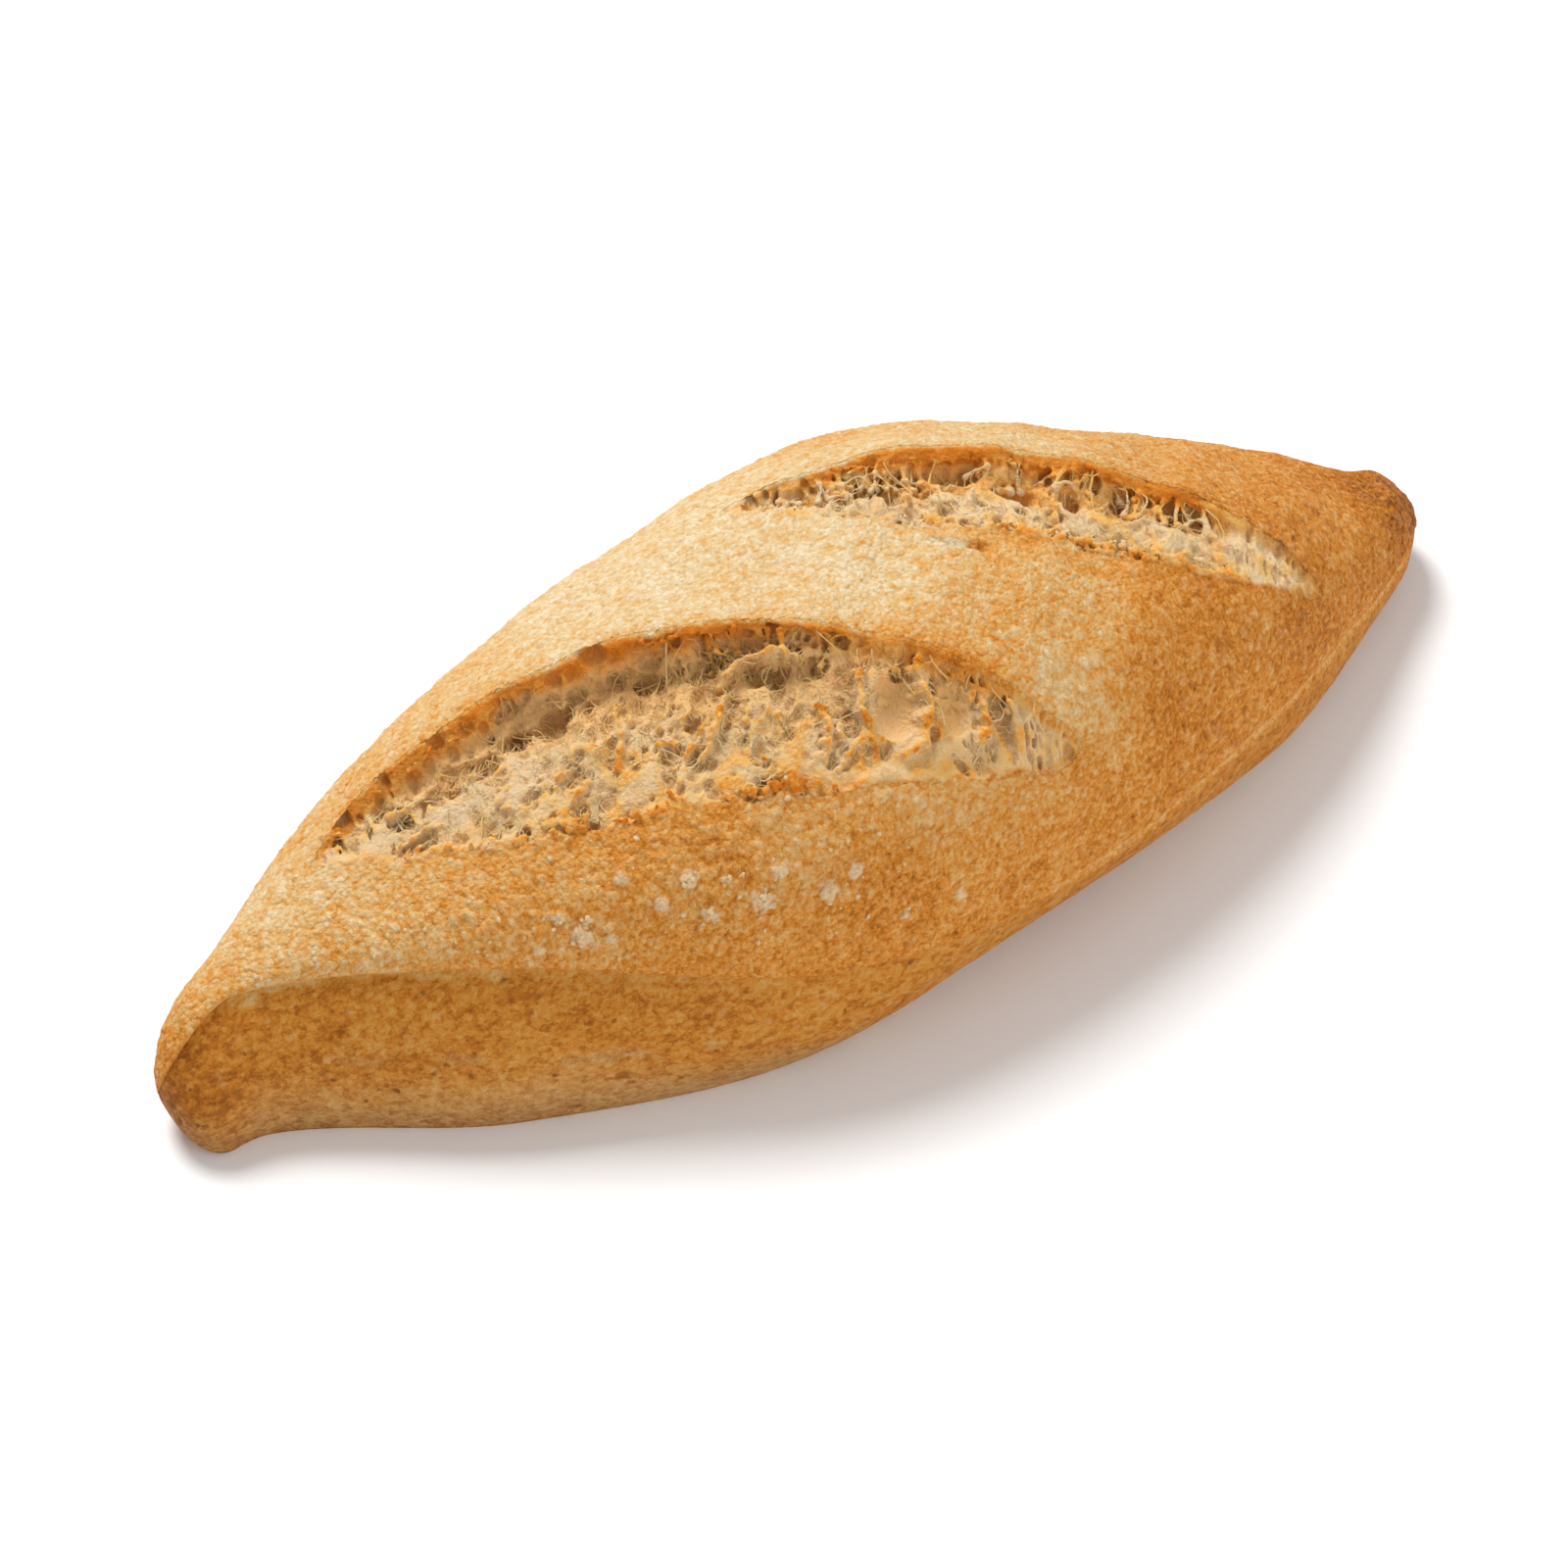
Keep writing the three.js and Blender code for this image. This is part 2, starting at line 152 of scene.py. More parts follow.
# Camera, fitted to the photo.
VIEW_TURN = 30.7
VIEW_RISE = 44.0
VIEW_DISTANCE = 700.0
VIEW_TARGET = np.array([0, 0, 20.0])
AIM_SHIFT = (-4.53, -8.75)
FOCAL_PIXELS = 5719.0
PICTURE_PIXELS = 1600.0
SENSOR = 36.0


def smooth(low, high, x):
    t = np.clip((x - low) / (high - low), 0, 1)
    return t * t * (3 - 2 * t)


def soft_min(a, b, reach):
    blend = np.clip(0.5 + 0.5 * (b - a) / reach, 0, 1)
    return b + (a - b) * blend - reach * blend * (1 - blend)


def from_pairs(pairs, at):
    """The value at a place, from pairs of a place and a value."""
    return np.interp(at, *zip(*pairs))


def swelling(share, power):
    """Rises from 0 at a slash's start to 1 at its middle, and falls to 0 at its end."""
    return np.sin(math.pi * np.clip(share, 0, 1)) ** power


# Noise.
def hashed(cell, seed):
    x, y, z = (cell[..., i].astype(np.uint32) for i in range(3))
    h = x * np.uint32(374761393) + y * np.uint32(668265263) + z * np.uint32(2246822519)
    h = h + np.uint32((seed * 3266489917) & 0xFFFFFFFF)
    h = (h ^ (h >> np.uint32(13))) * np.uint32(1274126177)
    h = (h ^ (h >> np.uint32(15))) * np.uint32(2654435761)
    h = h ^ (h >> np.uint32(16))
    return h.astype(np.float64) / 4294967295.0


def noise(points, size, seed):
    place = points / size
    cell = np.floor(place).astype(np.int64)
    f = place - cell
    f = f * f * (3 - 2 * f)
    total = 0
    for corner in np.ndindex(2, 2, 2):
        weight = np.prod(np.where(corner, f, 1 - f), axis=-1)
        total = total + weight * hashed(cell + corner, seed)
    return 2 * total - 1


def layered(points, size, seed, layers=3):
    return sum(noise(points + 17.3 * i, size / 2 ** i, seed + i) / 2 ** i for i in range(layers))


def grains(points, cell_size, seed, reach, chance):
    """Height from 0 to 1 of round grains strewn in space, and a number of each grain's own."""
    place = points / cell_size
    cell = np.floor(place).astype(np.int64)
    height = np.zeros(points.shape[:-1])
    own = np.zeros(points.shape[:-1])
    for step in np.ndindex(3, 3, 3):
        near = cell + np.array(step) - 1
        middle = near + np.stack([hashed(near, seed + i) for i in range(3)], -1)
        radius = reach * (0.6 + 0.8 * hashed(near, seed + 3))
        rise = 1 - ((place - middle) ** 2).sum(-1) / radius ** 2
        rise = np.where(hashed(near, seed + 4) < chance, rise, 0)
        higher = rise > height
        height = np.where(higher, rise, height)
        own = np.where(higher, hashed(near, seed + 5), own)
    return height, own


# The loaf's form.
def curve_through(values, at):
    values = np.asarray(values, float)
    index = np.arange(len(STATIONS))
    low, high = np.maximum(index - 1, 0), np.minimum(index + 1, len(STATIONS) - 1)
    slope = (values[high] - values[low]) / (STATIONS[high] - STATIONS[low])
    i = np.clip(np.searchsorted(STATIONS, at) - 1, 0, len(STATIONS) - 2)
    span = STATIONS[i + 1] - STATIONS[i]
    t = (at - STATIONS[i]) / span
    start = (1 + 2 * t) * (1 - t) ** 2 * values[i] + t * (1 - t) ** 2 * span * slope[i]
    end = t * t * (3 - 2 * t) * values[i + 1] + t * t * (t - 1) * span * slope[i + 1]
    return start + end


def section(u):
    nose = np.clip((np.abs(u) - TIP_START) / (1 - TIP_START), 0, 1)
    crest = curve_through(CREST_HEIGHT, u)
    return {
        "x": u * LENGTH / 2,
        "closing": np.sqrt(1 - nose * nose),
        "axis": curve_through(AXIS_BEND, u),
        "crest": crest,
        "half": (curve_through(FRONT_HALF_WIDTH, u), curve_through(BACK_HALF_WIDTH, u)),
        "seam": tuple(np.minimum(curve_through(SEAM_HEIGHT, v), SEAM_LIMIT * crest) for v in (u, -u)),
        "foot": (curve_through(FOOT_HALF_WIDTH, u), curve_through(FOOT_HALF_WIDTH, -u)),
    }


def section_point(cut, sideways, height):
    middle = cut["crest"] / 2
    y = cut["axis"] + sideways * cut["closing"]
    z = middle + (height - middle) * cut["closing"]
    return np.stack(np.broadcast_arrays(cut["x"], y, z), -1)


def waves(x, y):
    a, b, c = (2 * math.pi / length for length in WAVE_LENGTHS)
    one, two = WAVE_PHASES
    return WAVE_HEIGHT / 2 * (np.sin(a * x + one) * np.cos(b * y) + np.sin(c * (x - y) + two))


def lip_opening(lip, share):
    opening, rise, fall = lip
    peak = rise / (rise + fall)
    share = np.clip(share, 0, 1)
    return opening * (share / peak) ** rise * ((1 - share) / (1 - peak)) ** fall


def slash_line(slash):
    start, end = np.array(slash["start"], float), np.array(slash["end"], float)
    length = float(np.hypot(*(end - start)))
    along = (end - start) / length
    return start, along, np.array([-along[1], along[0]]), length


def slash_place(slash, x, y):
    """Distance along a slash's line and offset from it towards the back."""
    start, along, side, _ = slash_line(slash)
    dx, dy = x - start[0], y - start[1]
    return dx * along[0] + dy * along[1], dx * side[0] + dy * side[1]


def ear_lift(slash, x, y):
    s, t = slash_place(slash, x, y)
    share = s / slash_line(slash)[3]
    beyond = t - lip_opening(slash["back"], share)
    return slash["ear"] * swelling(share, EAR_FADE) * np.exp(-((beyond / EAR_REACH) ** 2))


def lens_distance(slash, s, t):
    """How far outside a slash's opening a plan point lies; negative inside."""
    length = slash_line(slash)[3]
    share = s / length
    across = np.maximum(-lip_opening(slash["front"], share) - t, t - lip_opening(slash["back"], share))
    return np.where(s < 0, np.hypot(s, t), np.where(s > length, np.hypot(s - length, t), across))


def top_point(u, across):
    cut = section(u)
    half = np.where(across > 0, cut["half"][1], cut["half"][0])
    seam = np.where(across > 0, cut["seam"][1], cut["seam"][0])
    dome = np.maximum(1 - np.abs(across) ** ROUNDNESS, 0) ** (1 / ROUNDNESS)
    y = cut["axis"] + across * half * cut["closing"]
    rise = cut["crest"] - seam + waves(cut["x"], y) + sum(ear_lift(s, cut["x"], y) for s in SLASHES)
    return section_point(cut, across * half, seam + rise * dome)


def side_point(u, down, back):
    cut = section(u)
    seam_y, seam_z = cut["half"][back] - SEAM_LEDGE[0], cut["seam"][back] - SEAM_LEDGE[1]
    foot = cut["foot"][back]
    swell = SIDE_BULGE * 4 * down * (1 - down)
    y = seam_y + (foot - seam_y) * down + swell * seam_z
    z = seam_z * (1 - down) + swell * (foot - seam_y)
    return section_point(cut, (1 if back else -1) * y, np.maximum(z, 0))


def crust_point(x, y):
    u = np.clip(2 * x / LENGTH, -1, 1)
    cut = section(u)
    offset = y - cut["axis"]
    across = offset / np.where(offset > 0, cut["half"][1], cut["half"][0])
    return top_point(u, np.clip(across, -OUTLINE_LIMIT, OUTLINE_LIMIT))


# Meshes from numbers.
def point_normals(points, faces):
    a, b, c = (points[faces[:, i]] for i in range(3))
    each = np.cross(b - a, c - a)
    total = np.zeros_like(points)
    for corner in range(3):
        for axis in range(3):
            total[:, axis] += np.bincount(faces[:, corner], each[:, axis], len(points))
    return total / np.maximum(np.linalg.norm(total, axis=1, keepdims=True), 1e-12)


def strip(first_a, a, first_b, b):
    """Triangles between two rows of points with rising places a and b."""
    from_b = np.concatenate([np.zeros(len(a) - 1, bool), np.ones(len(b) - 1, bool)])
    order = np.argsort(np.concatenate([a[1:], b[1:]]), kind="stable")
    from_b = from_b[order]
    ia, ib = np.cumsum(~from_b) + first_a, np.cumsum(from_b) + first_b
    step_a = np.stack([ia - 1, ib, ia], -1)
    step_b = np.stack([ia, ib - 1, ib], -1)
    return np.where(from_b[:, None], step_b, step_a)


def rows_mesh(rows):
    """Faces of a skin over rows, each the rising places of its points."""
    first = np.concatenate([[0], np.cumsum([len(r) for r in rows])])
    return np.concatenate([strip(first[i], rows[i], first[i + 1], rows[i + 1]) for i in range(len(rows) - 1)])


def drop_loose(points, faces, *more):
    used = np.zeros(len(points), bool)
    used[faces.ravel()] = True
    index = np.cumsum(used) - 1
    return (points[used], index[faces], *(m[used] for m in more))


def length_along(points):
    step = np.linalg.norm(np.diff(points, axis=-2), axis=-1)
    return np.concatenate([np.zeros_like(step[..., :1]), np.cumsum(step, -1)], -1)


def ring_shares(spacing):
    """Shares of the half length, a spacing apart along the crest."""
    dense = np.sin(np.linspace(-math.pi / 2, math.pi / 2, 6001))
    length = length_along(top_point(dense, np.zeros_like(dense)))
    return np.interp(np.linspace(0, length[-1], int(length[-1] / spacing) + 1), length, dense)


# The middle of the loaf's box in y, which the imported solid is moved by.
probe = np.linspace(-1, 1, 2001)
sides = np.concatenate([side_point(probe[:, None], np.linspace(0, 1, 41), b).reshape(-1, 3) for b in (0, 1)])
sides = np.concatenate([sides, *(top_point(probe, np.full_like(probe, v)) for v in (-1, 1))])
SHIFT = np.array([0, -(sides[:, 1].min() + sides[:, 1].max()) / 2, 0])


def make_piece(name, points, faces, material, values=None):
    mesh = bpy.data.meshes.new(name)
    count, corners = faces.shape
    mesh.vertices.add(len(points))
    mesh.vertices.foreach_set("co", ((points + SHIFT) * MM).astype(np.float32).ravel())
    mesh.loops.add(count * corners)
    mesh.loops.foreach_set("vertex_index", faces.astype(np.int32).ravel())
    mesh.polygons.add(count)
    mesh.polygons.foreach_set("loop_start", np.arange(0, count * corners, corners, dtype=np.int32))
    mesh.update(calc_edges=True)
    mesh.validate()
    mesh.shade_smooth()
    for key, numbers in (values or {}).items():
        mesh.attributes.new(key, "FLOAT", "POINT").data.foreach_set("value", numbers.astype(np.float32))
    mesh.materials.append(material)
    piece = bpy.data.objects.new(name, mesh)
    bpy.context.collection.objects.link(piece)
    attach(piece, "root")
    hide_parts("bread_roll")
    print(name, len(points), "points", count * (corners - 2), "triangles")


# Relief of the crust. The floured side lies between plan places in x and in y. Grains have the size of the
# cells that may hold one each, a seed, a reach in cells and a chance.
FLOURED_SIDE = ((12, -25), (-4, -18))
LEAST_ROUGH = 0.65
SWELL_HEIGHT = 0.18
FINE_HEIGHT = 0.17
GRAIN_BEND = 0.4
COARSE_GRAINS = (1.55, 31, 0.5, 0.55)
COARSE_HEIGHT = 0.34
SMALL_GRAINS = (0.9, 41, 0.55, 0.8)
SMALL_HEIGHT = 0.24

# A small tear beside the short slash: shares where it starts, ends and turns from pale to brown, distance in
# front of the lip, height, distance and width of its rim, depth and width of its groove, tone and its width.
TEAR = {"slash": SHORT_SLASH, "first": 0.3, "last": 0.4, "turn": 0.37, "before": 3.4,
        "rim": (0.4, 0.9, 0.45), "groove": (0.7, 0.45), "tone": (0.6, 0.6)}

# The bare side: its relief is drawn out along the loaf, and its pits are grains turned inwards.
STREAK = np.array([0.45, 1, 1])
SIDE_SWELL = 0.1
SIDE_FINE = 0.05
SIDE_PITS = (4.2, 71, 0.17, 0.55)
PIT_DEPTH = 0.6


def bell(x, wide):
    return np.exp(-(x / wide) ** 2)


def vary(draw, least, spread, power=1, size=None):
    """Random numbers from least up by a spread. A power above 1 favours those near least."""
    return least + spread * draw.random(size) ** power


def tear_place(points):
    """How far a place is in the small tear, its offset from the tear's line and its share along the slash."""
    slash = TEAR["slash"]
    s, t = slash_place(slash, points[..., 0], points[..., 1])
    share = s / slash_line(slash)[3]
    offset = t + lip_opening(slash["front"], share) + TEAR["before"] + 0.5 * noise(points, 2.5, 57)
    begun = smooth(TEAR["first"] - 0.02, TEAR["first"] + 0.02, share)
    return begun * smooth(TEAR["last"] + 0.015, TEAR["last"] - 0.01, share), offset, share


def crust_relief(points):
    """Height of the floured crust over the smooth form, and how far each place stands out as a grain."""
    (right, left), (middle, near) = FLOURED_SIDE
    floured = smooth(right, left, points[..., 0]) * smooth(middle, near, points[..., 1])
    rough = LEAST_ROUGH + (1 - LEAST_ROUGH) * floured
    bent = points + GRAIN_BEND * np.stack([noise(points, 1.2, 11 + i) for i in range(3)], -1)
    coarse, own = grains(bent, *COARSE_GRAINS)
    small, other = grains(bent, *SMALL_GRAINS)
    grain = np.maximum(coarse * own, 0.7 * small * other)
    inside, offset, _ = tear_place(points)
    (rim, away, rim_wide), (groove, groove_wide) = TEAR["rim"], TEAR["groove"]
    lumps = SWELL_HEIGHT * layered(points, 6, 21)
    lumps = lumps + inside * (rim * bell(offset - away, rim_wide) - groove * bell(offset, groove_wide))
    fine = FINE_HEIGHT * layered(points, 0.8, 51, 2)
    raised = COARSE_HEIGHT * coarse * own + SMALL_HEIGHT * small * (0.3 + 0.7 * other)
    return lumps + rough * (raised + fine), grain


def side_relief(points):
    """Relief of the bare side: drawn-out swells and small pits."""
    slow = SIDE_SWELL * layered(points * STREAK, 5, 61)
    pits, own = grains(points, *SIDE_PITS)
    fine = SIDE_FINE * layered(points * STREAK, 0.9, 81, 2)
    return slow + fine - PIT_DEPTH * pits * own, pits * own


# How browned the crust is, from 0, floured and pale, to 1, dark: plan places of the top and their browning.
# Near the front it is raised also as painted shade, where the top slopes away from the light.
TOP_BROWNING_AND_SHADE = [
    (-27, 12, 0.02), (-1, -5, 0.03), (-19, 14, 0.0), (-45, 17, 0.26), (-54, 7, 0.46), (-70, 10, 0.3),
    (-74, 2, 0.14), (-20, 28, 0.2), (1, 10, 0.0), (20, 34, 0.46), (32, 14, 0.16), (50, 20, 0.44),
    (67, 12, 0.54), (72, 2, 0.7), (62, -12, 0.8), (91, 5, 1.05), (45, -23, 0.72), (26, -17, 0.42),
    (19, -26, 0.2), (20, -33, 0.72), (34, -28, 0.76), (4, -30, 0.36), (7, -36, 0.7), (-8, -36, 0.7),
    (-16, -37, 0.72), (-7, -31, 0.34), (-19, -30, 0.42), (-30, -30, 0.62), (-39, -26, 0.6), (-45, -27, 0.5),
    (-53, -14, 0.54), (-68, -10, 0.34), (-86, -4, 0.38), (-93, -5, 0.62),
]
BROWNING_POWER = 3.2
BROWNING_CORE = 6
BROWNING_SQUASH = 1.4
BROWNING_SWING = 0.07

# Browning of the lips in front and behind, how far it reaches in front, and how ragged it is.
LIP_BROWNING = (0.06, 0.4)
FRONT_LIP_REACH = 0.9
LIP_RAGGED = 0.7

# Pairs of a place along the loaf and the side's browning, or the share of it on the top's edge.
SIDE_BROWNING = [(-95, 0.9), (-84, 0.7), (-45, 0.68), (0, 0.68), (45, 0.66), (80, 0.7), (95, 0.88)]
SEAM_BLEND = [(-70, 0.15), (-40, 0.8), (20, 1)]
SIDE_SWING = 0.06

# The seam: width of the browned band on the top, its loss of grain, the flour's tone on the side below it,
# and the distances over which relief fades to it and to the foot.
SEAM_BAND = 5
SEAM_GRAIN_LOSS = 0.7
SEAM_PALE = 0.25
TOP_TAPER = 2.5
SIDE_TAPER = 1.5
FOOT_TAPER = 1.2

# A pale groove over the right seam: places of its start and full strength, distance, width and depth.
RIGHT_SEAM = (0, 25, 1.5, 0.5, 0.3)
# A crease in the side: places of its start and end, share down, width and depth.
SIDE_CREASE = (-76, -38, 0.5, 0.035, 0.25)
# The pale lower side: shares down where it starts and is full, and how far the crease has its colour.
LOWER_SIDE = (0.45, 0.95)
CREASE_TAN = 0.7


# The crust's browning, with painted shade on the near side, browned lips and the small tear.
def browning(points):
    x, y = points[..., 0], points[..., 1]
    total, weight = 0, 0
    for px, py, tone in TOP_BROWNING_AND_SHADE:
        far = BROWNING_CORE + (x - px) ** 2 + BROWNING_SQUASH * (y - py) ** 2
        near = 1 / far ** (BROWNING_POWER / 2)
        total, weight = total + near * tone, weight + near
    lips = 0
    for slash in SLASHES:
        s, t = slash_place(slash, x, y)
        share = s / slash_line(slash)[3]
        reach = np.where(t < 0, FRONT_LIP_REACH, from_pairs(slash["lip_band"], share))
        away = np.maximum(lens_distance(slash, s, t), 0) / reach
        strength = from_pairs(slash["lip_strength"], share)
        lips = np.maximum(lips, np.where(t < 0, *LIP_BROWNING) * strength * np.exp(-away))
    ragged = 1 + LIP_RAGGED * layered(points, 3.5, 95, 2)
    inside, offset, share = tear_place(points)
    tone, wide = TEAR["tone"]
    torn = inside * bell(offset, wide) * np.where(share < TEAR["turn"], -tone, tone)
    return total / weight + lips * ragged + torn + BROWNING_SWING * layered(points, 9, 91)


# Lumps of flour on the top, by plan place and size, and how far they rise. Strewn flour, by count and sizes.
# Random sizes and places are a least number and a spread, with a power if there is a third number.
FLOUR_LUMPS = [(-47, -24, 1.6), (-34, -27, 1.2), (-27, -32, 1.5), (-33, -30, 1.3), (-19, -34, 1.3),
               (-2, -37, 0.9), (-10, -37, 0.7), (-24, -31, 0.9), (-38, -27, 0.8), (-49, -22, 0.8),
               (-44, -26, 0.7), (-30, -29, 0.7), (-15, -34, 0.8), (-52, -23, 0.7), (-41, -23, 0.7)]
FLOUR_RISE = 0.3
FLOUR_STREWN = 110
FLOUR_SIZES = (0.15, 0.4)
FLOUR_SEED = 12
LUMP_RINGS = 6
LUMP_SIDES = 9
LUMP_ROUGH = 0.3
LUMP_WIDTH = (0.6, 0.5)
LUMP_FLAT = (0.35, 0.2)
LUMP_SUNK = 0.1
PART_SIZE = (0.18, 0.25)
STREWN_ALONG = (-0.9, 0.82, 0.8)
STREWN_ACROSS = (0.99, -0.35, 1.5)
STREWN_SCALE = (0.6, 0.8, 3)


def flour_cover(points):
    """How far flour lumps cover a place, from 0 to 1."""
    cover = np.zeros(points.shape[:-1])
    ragged = 0.45 * layered(points, 1.3, 96) + 0.35 * layered(points, 0.7, 107, 2)
    for x, y, size in FLOUR_LUMPS:
        far = np.linalg.norm(points - crust_point(np.float64(x), np.float64(y)), axis=-1) / size
        cover = np.maximum(cover, smooth(1.0, 0.7, far + 1.2 * ragged))
    return cover


# Rows of the skin across the loaf.
SHARES = ring_shares(TOP_SPACING)
LEAST_ROW = 3 * TOP_SPACING
NO_EDGE = 50.0
FRONT, BASE, BACK = range(3)


def joined(rows):
    """The first list of each row, and the others end to end."""
    first, *others = zip(*rows)
    return first, *(np.concatenate(each) for each in others)


def across_at(angle):
    """The share across the top at an angle over the dome."""
    return -np.sign(np.cos(angle)) * np.abs(np.cos(angle)) ** (2 / ROUNDNESS)


def top_rows():
    """Places of the top's points by row; their shares of the half length, angles and distances from the seam.

    The seam's own points have angles outside the dome's.
    """
    angle = np.linspace(0, math.pi, 361)
    dense = top_point(SHARES[:, None], across_at(angle)[None, :])
    front, back = side_point(SHARES, 0.0, 0), side_point(SHARES, 0.0, 1)
    length = length_along(np.concatenate([front[:, None], dense, back[:, None]], 1))
    rows = []
    for u, run in zip(SHARES, length):
        if run[-1] < LEAST_ROW:
            place, where = np.zeros(1), np.array([math.pi / 2])
        else:
            inner = np.linspace(run[1], run[-2], max(3, int((run[-2] - run[1]) / TOP_SPACING)))
            where = np.concatenate([[-1], np.interp(inner, run[1:-1], angle), [math.pi + 1]])
            place = np.concatenate([[0], inner, [run[-1]]]) / run[-1]
        rows.append((place, np.full(len(place), u), where, np.minimum(place, 1 - place) * run[-1]))
    return joined(rows)


def build_top(material):
    rows, u, angle, ledge = top_rows()
    points = top_point(u, across_at(np.clip(angle, 0, math.pi)))
    points = np.where((angle < 0)[:, None], side_point(u, 0.0, 0), points)
    points = np.where((angle > math.pi)[:, None], side_point(u, 0.0, 1), points)
    x, y = points[:, 0], points[:, 1]
    faces = rows_mesh(rows)
    normals = point_normals(points, faces)
    relief, grain = crust_relief(points)
    near_seam = smooth(SEAM_BAND, 0, ledge + 2 * noise(points, 4, 93)) * from_pairs(SEAM_BLEND, x)
    grain = grain * (1 - SEAM_GRAIN_LOSS * near_seam)
    start, full, away, wide, depth = RIGHT_SEAM
    groove = bell(ledge - away - 0.5 * noise(points, 6, 94), wide) * smooth(start, full, x)
    groove = groove * (angle < math.pi / 2)
    brown = browning(points)
    brown = brown + (from_pairs(SIDE_BROWNING, x) - brown) * near_seam
    brown = brown - depth * groove
    floured = flour_cover(points)
    gone = np.zeros(len(points), bool)
    for slash in SLASHES:
        outside = lens_distance(slash, *slash_place(slash, x, y))
        gone |= outside / np.clip(normals[:, 2], 0.4, 1) < HANDOVER
    faces = faces[~gone[faces].all(1)]
    rise = relief * smooth(0, TOP_TAPER, ledge) - depth * groove + FLOUR_RISE * floured
    points = points + normals * rise[:, None]
    points, faces, brown, grain, floured = drop_loose(points, faces, brown, grain, floured)
    make_piece("crust_top", points, faces, material, {"brown": brown, "grain": grain, "floured": floured})


def side_rows():
    """Places of the side's and base's points by row; shares of the half length, kinds, shares and edges.

    Shares go down the side or across the base, and edges are distances from the seam.
    """
    downs = np.linspace(0, 1, 61)
    sides = [side_point(SHARES[:, None], downs[None, :], b) for b in (0, 1)]
    width = np.linalg.norm(sides[0][:, -1] - sides[1][:, -1], axis=-1)
    rows = []
    for u, front, back, base in zip(SHARES, *(length_along(side) for side in sides), width):
        whole = front[-1] + back[-1] + base
        if whole < LEAST_ROW:
            rows.append((np.zeros(1), [u], [BASE], [0.5], [0]))
            continue
        counts = [max(2, int(long / SIDE_SPACING)) for long in (front[-1], BASE_SHARE * base, back[-1])]
        f = np.linspace(0, front[-1], counts[FRONT], endpoint=False)
        m = np.linspace(0, 1, counts[BASE], endpoint=False)
        b = np.linspace(back[-1], 0, counts[BACK])
        place = np.concatenate([f, front[-1] + m * base, whole - b]) / whole
        share = np.concatenate([np.interp(f, front, downs), m, np.interp(b, back, downs)])
        edge = np.concatenate([f, np.full(len(m), NO_EDGE), b])
        rows.append((place, np.full(len(place), u), np.repeat([FRONT, BASE, BACK], counts), share, edge))
    return joined(rows)


def build_side(material):
    rows, u, kind, share, edge = side_rows()
    down = np.where(kind == BASE, 1, share)
    front, back = side_point(u, down, 0), side_point(u, down, 1)
    mix = np.where(kind == FRONT, 0, np.where(kind == BACK, 1, share))[:, None]
    points = front + (back - front) * mix
    x = points[:, 0]
    faces = rows_mesh(rows)[:, ::-1]
    normals = point_normals(points, faces)
    relief, pits = side_relief(points)
    taper = smooth(0, SIDE_TAPER, edge) * np.where(kind == BASE, 0, smooth(0, FOOT_TAPER, points[:, 2]))
    wavy = 0.05 * layered(points, 9, 98) + 0.02 * layered(points, 2, 99)
    first, last, low, wide, depth = SIDE_CREASE
    crease = bell(down - low - wavy, wide) * smooth(first - 8, first, x) * smooth(last + 14, last, x)
    crease = crease * (kind == FRONT) * smooth(-0.3, 0.5, layered(points, 5, 100))
    tan = smooth(*LOWER_SIDE, down + wavy) * (kind != BASE) + CREASE_TAN * crease
    pale = smooth(1.5, 0.3, edge + 1.1 * layered(points, 2.6, 104, 2)) * (1 - from_pairs(SEAM_BLEND, x))
    brown = from_pairs(SIDE_BROWNING, x) + SIDE_SWING * layered(points * STREAK, 8, 97)
    brown = brown + (SEAM_PALE - brown) * pale * smooth(-90, -80, x) * (kind == FRONT)
    points = points + normals * (relief * taper - depth * crease)[:, None]
    points[:, 2] = np.maximum(points[:, 2], 0)
    values = {"brown": brown, "pits": pits, "tan": np.clip(tan, 0, 1)}
    make_piece("crust_side", points, faces, material, values)


def lump(size, flat, draw):
    """A rough flattened lump: points and faces."""
    tilt = np.linspace(-math.pi / 2, math.pi / 2, LUMP_RINGS)[1:-1, None]
    angle = 2 * math.pi * np.arange(LUMP_SIDES) / LUMP_SIDES
    ball = np.broadcast_arrays(np.cos(tilt) * np.cos(angle), np.cos(tilt) * np.sin(angle), np.sin(tilt))
    points = np.concatenate([[[0, 0, -1.0]], np.stack(ball, -1).reshape(-1, 3), [[0, 0, 1.0]]])
    points *= 1 + LUMP_ROUGH * draw.standard_normal((len(points), 1)).clip(-1.5, 1.5)
    faces = []
    last = 1 + (len(tilt) - 1) * LUMP_SIDES
    for k in range(LUMP_SIDES):
        n = (k + 1) % LUMP_SIDES
        faces += [(0, 1 + n, 1 + k), (len(points) - 1, last + k, last + n)]
        for a in range(1, last, LUMP_SIDES):
            b = a + LUMP_SIDES
            faces += [(a + k, a + n, b + n), (a + k, b + n, b + k)]
    scale = size * np.array([1, vary(draw, *LUMP_WIDTH), flat])
    return points * scale @ np.array(Matrix.Rotation(6.3 * draw.random(), 3, "Z")), np.array(faces)


def flour_places(draw):
    """Plan places and sizes of the parts of flour lumps and of strewn flour."""
    places = []
    for x, y, size in FLOUR_LUMPS:
        for _ in range(2 + int(4 * size)):
            dx, dy = 0.4 * size * draw.standard_normal(2)
            places.append((x + dx, y + 0.6 * dy, vary(draw, *PART_SIZE) * size ** 0.5))
    for _ in range(FLOUR_STREWN):
        u = vary(draw, *STREWN_ALONG)
        cut = section(np.float64(u))
        y = cut["axis"] - cut["half"][0] * vary(draw, *STREWN_ACROSS)
        places.append((u * LENGTH / 2, y, draw.uniform(*FLOUR_SIZES) * vary(draw, *STREWN_SCALE)))
    return places


